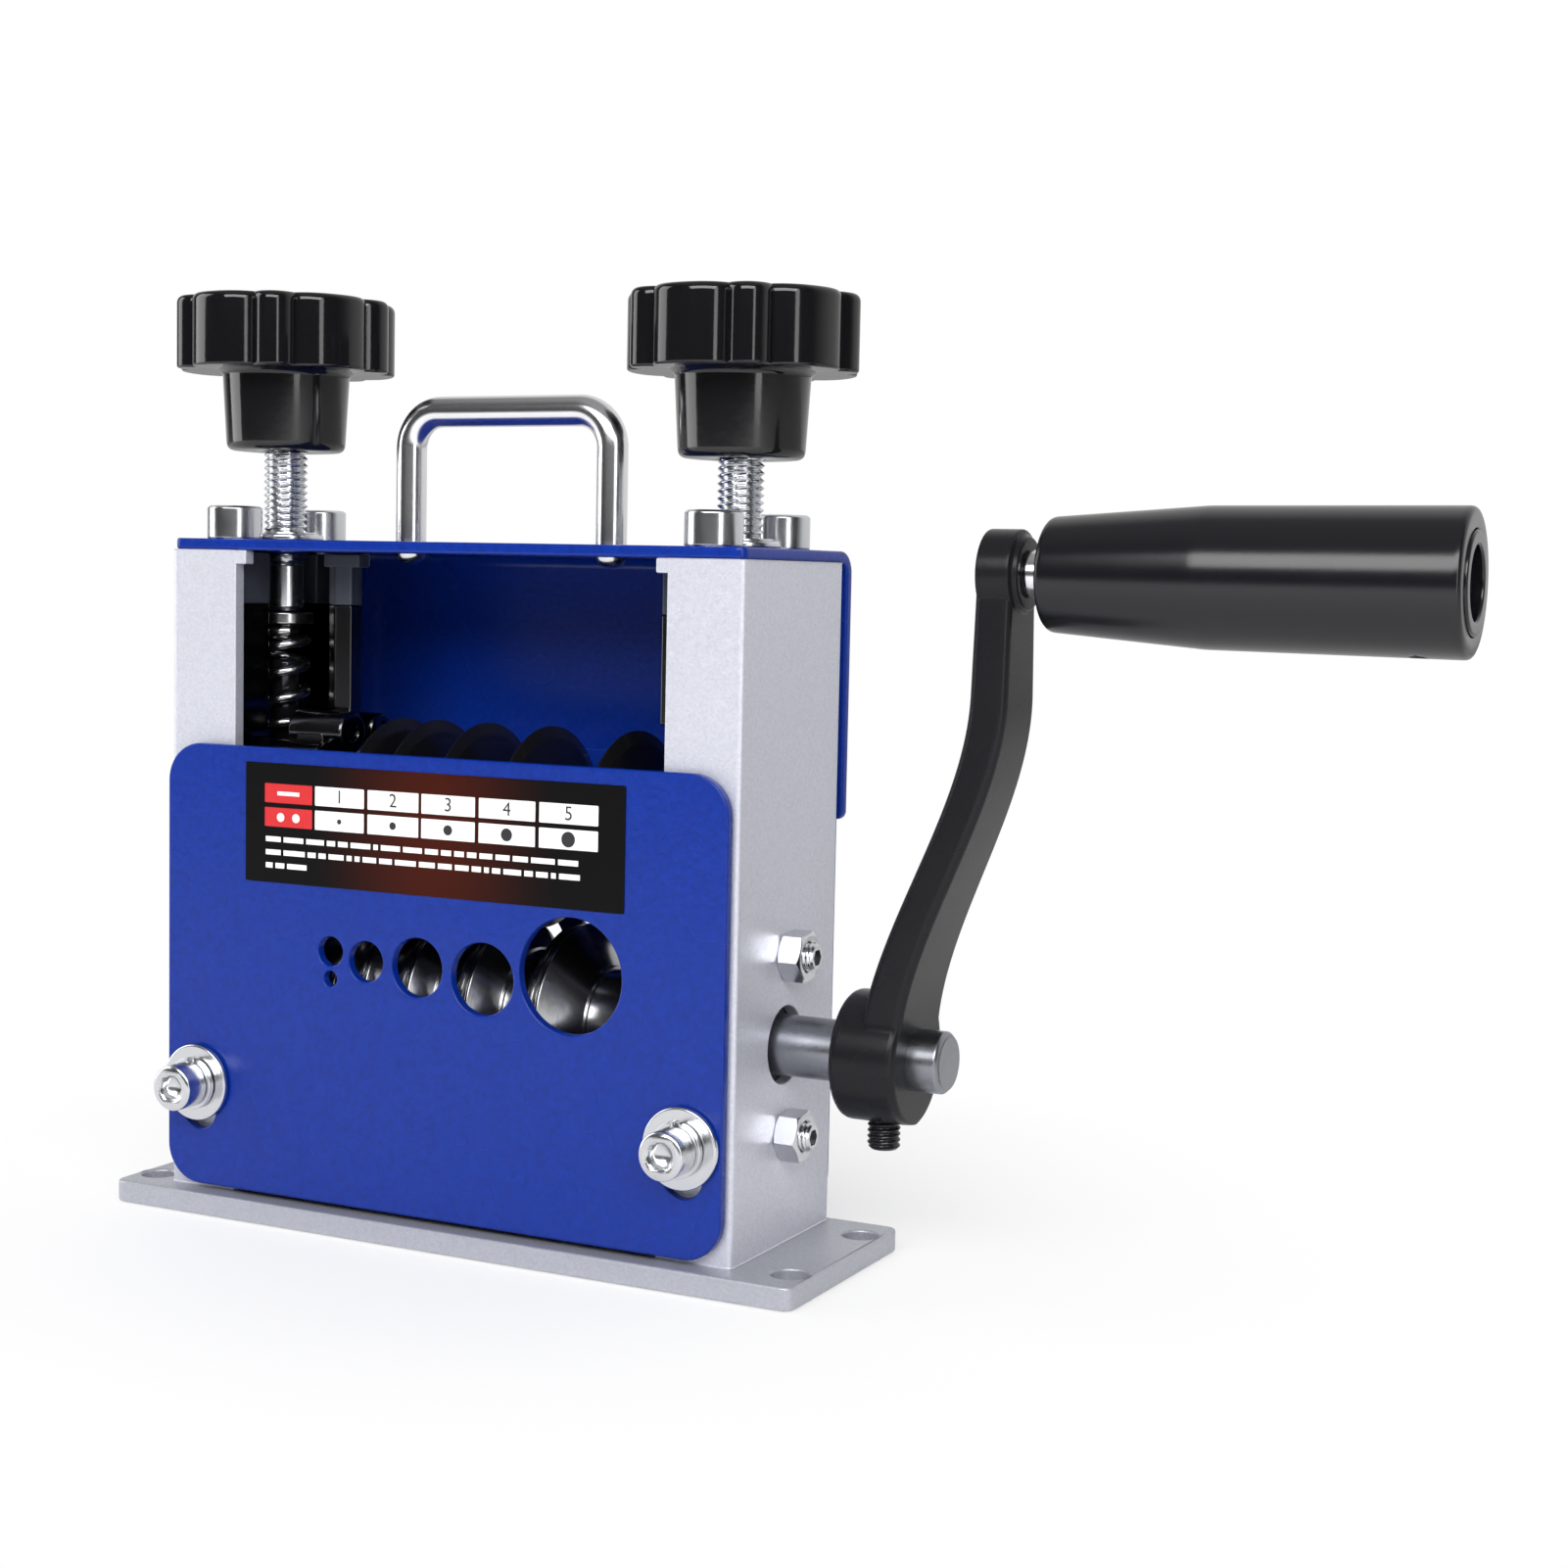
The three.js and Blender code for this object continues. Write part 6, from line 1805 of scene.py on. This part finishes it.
@dataclass
class BladeShaft(Assembly):
    """The upper shaft with its five round blades and lock nut."""

    z: float = 73.0
    radius: float = 18.0
    thickness: float = 1.8
    bevel: float = 2.2
    hub: float = 8.5
    bore: float = 6.2
    journal: float = 5.0
    seat: float = 6.0
    end: float = 52.0
    collar: float = 3.0
    nut: float = 9.0

    def _blade(self, x: float, reach: float) -> Shell:
        """A disc with a bevelled rim and a hub on its right.

        Args:
            x: the disc's middle.
            reach: where its hub ends.

        Returns:
            The blade's shell.
        """
        low, high = x - self.thickness / 2, x + self.thickness / 2
        corners = [
            [self.bore, low], [self.radius - self.bevel, low], [self.radius, x - 0.15],
            [self.radius, x + 0.15], [self.radius - self.bevel, high], [self.hub, high],
            [self.hub, reach], [self.bore, reach],
        ]
        profile = softened(corners, [0.1, 0.3, 0.06, 0.06, 0.3, 0.4, 0.3, 0.1], 4)
        return Shell().turned(profile, Axis.X, (0, 0, self.z), 128, hollow=True)

    def build(self) -> None:
        """Makes the shaft, the blades and the nut."""
        half, collar, end = self.thickness / 2, self.collar, self.end
        reaches = [x - half - 0.3 for x in CHANNELS[1:]] + [CHANNELS[-1] + half + collar]
        for i, (x, reach) in enumerate(zip(CHANNELS, reaches)):
            self.dress(f"blade_{i + 1}", self._blade(x, reach), "black_steel", "blade_spindle")
        first, last = CHANNELS[0] - 1.2, CHANNELS[-1] + 0.9 + collar
        face = last + 0.3 + collar
        corners = [
            [self.journal - 0.5, -end], [self.journal, 0.5 - end], [self.journal, first - collar],
            [self.hub, first - collar], [self.hub, first], [self.seat, first], [self.seat, face],
            [self.journal, face], [self.journal, end - 0.5], [self.journal - 0.5, end],
        ]
        centre = (0, 0, self.z)
        shell = Shell().turned(softened(corners, 0.25, 3, closed=False), Axis.X, centre)
        self.dress("blade_shaft", shell, "black_steel", "blade_spindle")
        across, span = (2 * self.nut, 2 * self.bore), (last + 0.3, face)
        shell = Shell().washer(Axis.X, centre, across, span, 0.4)
        self.dress("blade_lock_nut", shell, "black_steel", "blade_spindle")


@dataclass
class FeedDrive(Assembly):
    """The feed shaft and the grooved feed roller.

    Each groove has half its width at the rim, half its width at its foot and its foot's radius.
    """

    z: float = 38.6
    shaft: float = 10.5
    rim: float = 17.5
    left: float = -54.0
    right: float = 88.7
    margin: float = 5.5
    grooves: tuple = (
        (2.6, 1.2, 15.6), (3.4, 1.3, 14.6), (5.0, 2.0, 13.2), (6.0, 2.2, 12.0), (9.2, 3.6, 10.0)
    )

    def _roller(self) -> Shell:
        """The roller: at each groove a bead, a flank down, a stepped bottom and a flank up.

        Returns:
            The roller's shell.
        """
        first = CHANNELS[0] - self.grooves[0][0] - self.margin
        last = CHANNELS[-1] + self.grooves[-1][0] + self.margin
        bore, rim, edge = self.shaft / 2 + 0.2, self.rim, 0.8
        points: list[list[float]] = [[bore, first], [rim - edge, first], [rim, first + edge]]
        for x, (half, flat, bottom) in zip(CHANNELS, self.grooves):
            lip = min(0.55, half * 0.12)
            points += [
                [rim, x - half - 2.2 * lip], [rim - 1.2 * lip, x - half - 2.0 * lip],
                [rim - 1.2 * lip, x - half - 1.1 * lip], [rim, x - half - 0.9 * lip],
                [rim, x - half], [bottom + lip, x - flat - 0.2 * lip],
                [bottom + lip, x - flat + 0.6 * lip], [bottom, x - flat + 0.7 * lip],
                [bottom, x + flat - 0.7 * lip], [bottom + lip, x + flat - 0.6 * lip],
                [bottom + lip, x + flat + 0.2 * lip], [rim, x + half],
            ]
        points += [[rim, last - edge], [rim - edge, last], [bore, last]]
        return Shell().turned(softened(points, 0.1, 2), Axis.X, (0, 0, self.z), 160, hollow=True)

    def build(self) -> None:
        """Makes the shaft and the roller."""
        radius = self.shaft / 2
        corners = [
            [radius - 0.6, self.left], [radius, self.left + 0.6], [radius, self.right - 0.8],
            [radius - 0.8, self.right],
        ]
        profile = softened(corners, 0.2, 3, closed=False)
        shell = Shell().turned(profile, Axis.X, (0, 0, self.z), 72)
        self.dress("feed_shaft", shell, "shaft", "crank")
        # The roller finish carries painted light: a pale metal in place of the black roller
        # steel.
        self.dress("feed_roller", self._roller(), "roller", "crank", Shading.CREASED)


@dataclass
class Crank(Assembly):
    """The cast crank arm with its hub, boss and set screw."""

    shaft_z: float = 38.6
    hub_low: float = 71.2
    hub_high: float = 83.0
    hub_radius: float = 11.0
    reach: float = 81.0
    offset: float = 16.3
    sway: tuple[float, float] = (40.0, 100.0)
    low_thickness: float = 7.2
    top_thickness: float = 6.2
    low_width: float = 19.0
    top_width: float = 12.0
    edge: float = 1.5
    boss: float = 14.4
    boss_bore: float = 3.2
    bore: float = 10.9
    screw: float = 2.8
    screw_depth: float = 0.35
    screw_inset: float = 6.0
    screw_span: tuple[float, float] = (-15.2, -5.6)
    screw_socket: tuple[float, float] = (2.5, 2.0)

    def _half_width(self, z: Array) -> Array:
        """The arm's half width: a straight taper between two circles.

        Args:
            z: heights along the arm.

        Returns:
            The half width at each height.
        """
        top, round_top = self.shaft_z + self.reach, self.boss / 2 - 0.2
        share = np.clip((z - self.shaft_z) / self.reach, 0, 1)
        taper = (self.low_width + (self.top_width - self.low_width) * share) / 2
        below = np.sqrt(np.maximum(self.hub_radius**2 - (z - self.shaft_z) ** 2, 0.01))
        above = np.sqrt(np.maximum(round_top**2 - (z - top) ** 2, 0.01))
        near_hub = np.where(z < self.shaft_z + self.hub_radius, below, 0)
        half = np.where(z < self.shaft_z, below, np.maximum(taper, near_hub))
        joined = np.where(np.abs(z - top) < round_top, np.maximum(half, above), half)
        return np.where(z > top, above, joined)

    def _arm(self) -> Shell:
        """The arm: a rounded section carried up in an S.

        Its outer face stands off the hub's by the offset times 3s^2 - 2s^3, with s the share of
        the way over the sway's heights. Its half width follows a straight taper, a circle round
        the shaft below and one round the grip's axis above.

        Returns:
            The arm's shell.
        """
        top, round_top = self.shaft_z + self.reach, self.boss / 2 - 0.2
        ends = 1 - np.cos(np.linspace(0.12, math.pi / 2, 12))
        z = np.concatenate([
            self.shaft_z - self.hub_radius + self.hub_radius * ends,
            np.linspace(self.shaft_z, top, 70)[1:-1],
            (top + round_top - round_top * ends)[::-1],
        ])
        s = np.clip((z - self.sway[0]) / (self.sway[1] - self.sway[0]), 0, 1)
        outer = self.hub_high + self.offset * s**2 * (3 - 2 * s)
        share = np.clip((z - self.shaft_z) / self.reach, 0, 1)
        thick = self.low_thickness + (self.top_thickness - self.low_thickness) * share
        half = self._half_width(z)
        edge = np.minimum(self.edge, half * 0.8)[:, None]
        arc = np.linspace(0, math.pi / 2, 6)
        cosine, sine = np.cos(arc), np.sin(arc)
        across = np.concatenate([cosine, -cosine[::-1], -cosine, cosine[::-1]])
        aside = np.concatenate([sine, sine[::-1], -sine, -sine[::-1]])
        x_sign, y_sign = np.repeat([1, -1, -1, 1], 6), np.repeat([1, 1, -1, -1], 6)
        middle = (outer - thick / 2)[:, None]
        x = middle + x_sign * (thick / 2)[:, None] - x_sign * edge + edge * across
        y = y_sign * half[:, None] - y_sign * edge + edge * aside
        return Shell().loft(Axis.Z.lay(x, y, z[:, None]))

    def _set_screw(self) -> Shell:
        """The set screw: a thread with a hexagon socket in its lower end.

        Returns:
            The screw's shell.
        """
        low, high = (self.shaft_z + reach for reach in self.screw_span)
        flats, deep = self.screw_socket
        rings = thread(self.screw, self.screw_depth, 1.0, low, high, 32)
        foot = rings[:1] * np.array([0.85, 0.85, 1]) - np.array([0, 0, 0.4])
        mouth = float(foot[0, 0, 2])
        walls = stacked(Axis.Z, hexagon(0, 0, flats), (mouth, mouth + deep))
        shell = Shell().grid(np.concatenate([foot, rings])).face(rings[-1])
        return shell.socket(foot[0], walls).moved((self.hub_low + self.screw_inset, 0, 0))

    def build(self) -> None:
        """Makes the arm with hub and boss, and the set screw."""
        inner, outer = self.hub_low, self.hub_high - 1.0
        section = rectangle(self.bore / 2, self.hub_radius, inner, outer)
        hub = softened(section, [0.3, 1.5, 0.2, 0.2], 5)
        shell = self._arm().turned(hub, Axis.X, (0, 0, self.shaft_z), 96, hollow=True)
        face, radius = self.hub_high + self.offset, self.boss / 2
        back = face - self.top_thickness + 0.4
        boss = [
            [radius, back], [radius, face - 0.2], [radius - 0.9, face + 0.1],
            [radius - 1.3, face + 1.0], [self.boss_bore, face + 1.0], [self.boss_bore, back],
        ]
        centre = (0, 0, self.shaft_z + self.reach)
        shell.turned(softened(boss, 0.35, 4), Axis.X, centre, 72, hollow=True)
        self.dress("crank_arm", shell, "casting", "crank")
        screw = self._set_screw()
        self.dress("crank_set_screw", screw, "black_steel", "crank", Shading.CREASED)


@dataclass
class Grip(Assembly):
    """The turned grip, its end cap, spindle and spacer."""

    z: float = 119.6
    start: float = 103.9
    length: float = 66.5
    start_radius: float = 9.2
    break_radius: float = 11.2
    end_radius: float = 11.5
    taper: float = 26.0
    bore: float = 3.3
    counterbore: float = 5.7
    counterbore_depth: float = 9.0
    cap_bore: float = 8.15
    cap_depth: float = 2.3
    dimple_turn: float = math.radians(262)
    dimple_place: float = 7.5
    dimple_half: tuple[float, float] = (1.5, 1.25)
    dimple_depth: float = 1.1
    spindle: tuple[float, float] = (3.0, 94.4)
    spindle_head: tuple[float, float] = (5.0, 4.0)
    spindle_socket: tuple[float, float] = (5.0, 2.0)

    def _section(self) -> Array:
        """The grip's profile, with short steps where the dimple can be pressed in.

        Returns:
            Its [radius, place] pairs.
        """
        end = self.length
        corners = [
            [self.bore, 0.0], [self.start_radius, 0.0], [self.break_radius, self.taper],
            [self.end_radius, end], [self.cap_bore, end], [self.cap_bore, end - self.cap_depth],
            [self.counterbore, end - self.cap_depth],
            [self.counterbore, end - self.counterbore_depth],
            [self.bore, end - self.counterbore_depth],
        ]
        outer = softened(corners, [0.2, 1.2, 0.8, 1.1, 0.2, 0.1, 0.1, 0.1, 0.1], 5)
        dense = []
        for first, second in zip(outer, np.roll(outer, -1, axis=0)):
            span = np.linalg.norm(second - first)
            long_wall = min(first[0], second[0]) > 9.0 and span > 12
            count = int(max(1, span / 0.35)) if long_wall else 1
            shares = np.linspace(0, 1, count, endpoint=False)[:, None]
            dense.append(first + (second - first) * shares)
        return np.concatenate(dense)

    def _grip(self) -> Shell:
        """The grip's skin, with a dimple pressed into it near its end.

        Points of the outer wall within the dimple's ellipse move inwards by a depth that falls
        off as one less the squared distance from its middle, raised to a half.

        Returns:
            The grip's shell.
        """
        profile = self._section()
        turn = angles(144)[None]
        radius, place = profile[:, :1], profile[:, 1:]
        swung = np.mod(turn - self.dimple_turn + math.pi, FULL_TURN) - math.pi
        across = (swung * self.end_radius) / self.dimple_half[0]
        along = (place - (self.length - self.dimple_place)) / self.dimple_half[1]
        depth = self.dimple_depth * np.sqrt(np.clip(1 - across**2 - along**2, 0, 1))
        r = radius - depth * (radius > self.end_radius - 1.0)
        rows = Axis.X.lay(r * np.cos(turn), r * np.sin(turn), place)
        return Shell().grid(np.concatenate([rows, rows[:1]])).moved((self.start, 0, self.z))

    def _spindle(self) -> Shell:
        """The spindle with its head and a hexagon socket.

        Returns:
            The spindle's shell.
        """
        (radius, low), (head, height) = self.spindle, self.spindle_head
        flats, deep = self.spindle_socket
        seat = self.start + self.length - self.counterbore_depth + 0.3
        face = seat + height
        corners = [
            [radius - 0.4, low], [radius, low + 0.4], [radius, seat], [head, seat],
            [head, face - 0.4], [head - 0.4, face],
        ]
        profile = softened(corners, 0.25, 3, closed=False)
        centre = (0, 0, self.z)
        shell = Shell().turned(profile, Axis.X, centre, 48, open_end=True)
        rim = stacked(Axis.X, circle(0, self.z, profile[-1, 0], 48), [face])[0]
        walls = stacked(Axis.X, hexagon(0, self.z, flats), (face, face - deep))
        return shell.socket(rim, walls)

    def build(self) -> None:
        """Makes the grip's pieces."""
        centre, end = (0, 0, self.z), self.start + self.length
        self.dress("crank_grip", self._grip(), "satin", "turning_grip", Shading.CREASED)
        cap = Shell().washer(Axis.X, centre, (16.0, 11.4), (end - 2.0, end + 0.4), 0.45)
        self.dress("grip_end_cap", cap, "satin", "turning_grip")
        spacer = Shell().washer(Axis.X, centre, (8.0, 6.4), (100.6, 103.6), 0.35)
        self.dress("grip_spacer", spacer, "polished", "crank")
        self.dress("grip_spindle", self._spindle(), "zinc", "crank")


@dataclass
class Studio:
    """Pale floor, soft lamps and the photograph's camera.

    The lamps are given by name, place, size and power; places and sizes are metres.
    """

    position: tuple[float, float, float] = (237.1, -371.2, 118.15)
    azimuth: float = -26.0
    elevation: float = -4.8
    roll: float = 1.26
    focal_pixels: float = 2506.3
    frame_pixels: float = 1601.0
    sensor: float = 36.0
    aim: tuple[float, float, float] = (0.03, 0.0, 0.09)
    lamps: tuple = (
        ("key_softbox", (0.25, -0.8, 0.6), (1.2, 0.4), 11.0),
        ("left_strip", (-0.92, -0.3, 0.3), (0.5, 1.0), 5.0),
        ("edge_strip", (0.85, -0.6, 0.35), (0.2, 1.0), 2.4),
    )
    floor_reach: float = 4000.0
    floor_z: float = -0.2

    def camera(self) -> None:
        """Places the camera from its azimuth, elevation and roll."""
        az, el, roll = np.radians([self.azimuth, self.elevation, self.roll]).tolist()
        forward = Vector((math.sin(az) * math.cos(el), math.cos(az) * math.cos(el), math.sin(el)))
        right = Vector((math.cos(az), -math.sin(az), 0.0))
        up = right.cross(forward)
        right, up = (
            right * math.cos(roll) + up * math.sin(roll),
            up * math.cos(roll) - right * math.sin(roll),
        )
        data = bpy.data.cameras.new("photo_camera")
        data.sensor_width = self.sensor
        data.lens = self.focal_pixels / self.frame_pixels * data.sensor_width
        data.clip_start = 0.01
        camera = bpy.data.objects.new("photo_camera", data)
        turn = Matrix((right, up, -forward)).transposed().to_4x4()
        camera.matrix_world = Matrix.Translation(Vector(self.position) * METRES) @ turn
        bpy.context.scene.collection.objects.link(camera)
        bpy.context.scene.camera = camera

    def light(self) -> None:
        """Hangs the soft lamps, each looking at the middle of the tool."""
        for name, place, size, power in self.lamps:
            data = bpy.data.lights.new(name, "AREA")
            data.shape = "RECTANGLE"
            data.size, data.size_y = size
            data.energy = power
            lamp = bpy.data.objects.new(name, data)
            lamp.location = place
            look = Vector(self.aim) - Vector(place)
            lamp.rotation_euler = look.to_track_quat("-Z", "Y").to_euler()
            bpy.context.scene.collection.objects.link(lamp)

    @staticmethod
    def world() -> None:
        """A white backdrop, a paler ceiling and a dim room in front; the camera sees white.

        The light from a direction goes smoothly from dim to white as its Y part grows. Where
        the direction rises steeply, the ceiling's own smooth step takes over if it is brighter.
        """
        world = bpy.data.worlds.new("studio_room")
        bpy.context.scene.world = world
        world.use_nodes = True
        tree = world.node_tree
        tree.nodes.clear()
        place = add_node(tree, "TexCoord")["Generated"]
        split = add_node(tree, "SeparateXYZ", {0: place})
        backdrop = smooth_step(tree, split["Y"], (0.0, 0.6), (0.04, 1.0))
        ceiling = smooth_step(tree, split["Z"], (0.55, 0.95), (0.0, 0.4))
        brighter = add_node(tree, "Math", {0: backdrop, 1: ceiling}, operation="MAXIMUM")[0]
        room = add_node(tree, "Background", {"Strength": brighter})[0]
        seen = add_node(tree, "Background", {"Color": (1, 1, 1, 1)})[0]
        path = add_node(tree, "LightPath")["Is Camera Ray"]
        mix = add_node(tree, "MixShader", {0: path, 1: room, 2: seen})[0]
        add_node(tree, "OutputWorld", {"Surface": mix})

    def floor(self) -> None:
        """A pale floor, as white as the sky to the camera further off, with painted shade behind
        the camera.

        Its colour is painted shade: it goes smoothly from dark to white along Y, so the tool
        reflects a dim floor in front of it. The camera sees it mixed with plain white, by a share
        that grows smoothly with the distance from the middle.
        """
        reach = self.floor_reach
        corners = stacked(Axis.Z, rectangle(-reach, reach, -reach, reach), [self.floor_z])[0]
        mesh = Shell().face(corners).mesh("floor")
        piece = bpy.data.objects.new("floor", mesh)
        bpy.context.scene.collection.objects.link(piece)
        material, tree, shader = new_material("floor_white")
        place = add_node(tree, "TexCoord")["Object"]
        split = add_node(tree, "SeparateXYZ", {0: place})
        # Painted shade: the floor is dark behind the camera so that the tool's reflections of it
        # there are dim.
        painted_shade_tone = smooth_step(tree, split["Y"], (-1.0, -0.4), (0.1, 0.97))
        feed(tree, shader, {"Base Color": painted_shade_tone, "Roughness": 0.7})
        far = add_node(tree, "VectorMath", {0: place}, operation="LENGTH")["Value"]
        share = smooth_step(tree, far, (0.04, 0.17), (0.55, 1.0))
        path = add_node(tree, "LightPath")["Is Camera Ray"]
        seen = add_node(tree, "Math", {0: share, 1: path}, operation="MULTIPLY")[0]
        glow = add_node(tree, "Emission", {"Color": (1, 1, 1, 1)})[0]
        mix = add_node(tree, "MixShader", {0: seen, 1: shader.outputs[0], 2: glow})[0]
        feed(tree, tree.nodes["Material Output"], {"Surface": mix})
        mesh.materials.append(material)

    def build(self) -> None:
        """Sets up the whole studio."""
        self.camera()
        self.light()
        self.world()
        self.floor()
        bpy.context.scene.view_settings.view_transform = "Standard"


def main() -> None:
    """Builds the studio and every sub-assembly, and reports each piece."""
    logging.basicConfig(level=logging.INFO, format="%(name)s: %(message)s")
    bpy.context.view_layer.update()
    Studio().build()
    finishes = Finishes()
    groups = [
        BasePlate(finishes),
        *(Pillar(finishes, side) for side in Side),
        *(group(finishes) for group in (Cover, Guards, Label, Fasteners, CarryHandle)),
        Adjuster(finishes, Side.LEFT, low=139.5),
        Adjuster(finishes, Side.RIGHT, low=138.0),
        PressureUnit(finishes, Side.LEFT, slot_end=23.6, wide=True),
        PressureUnit(finishes, Side.RIGHT, slot_end=16.5, wide=False),
        *(group(finishes) for group in (BladeShaft, FeedDrive, Crank, Grip)),
    ]
    for group in groups:
        group.build()
        for piece in group.made:
            LOG.info("%s: %d faces", piece.name, len(piece.data.polygons))


if __name__ == "__main__":
    main()
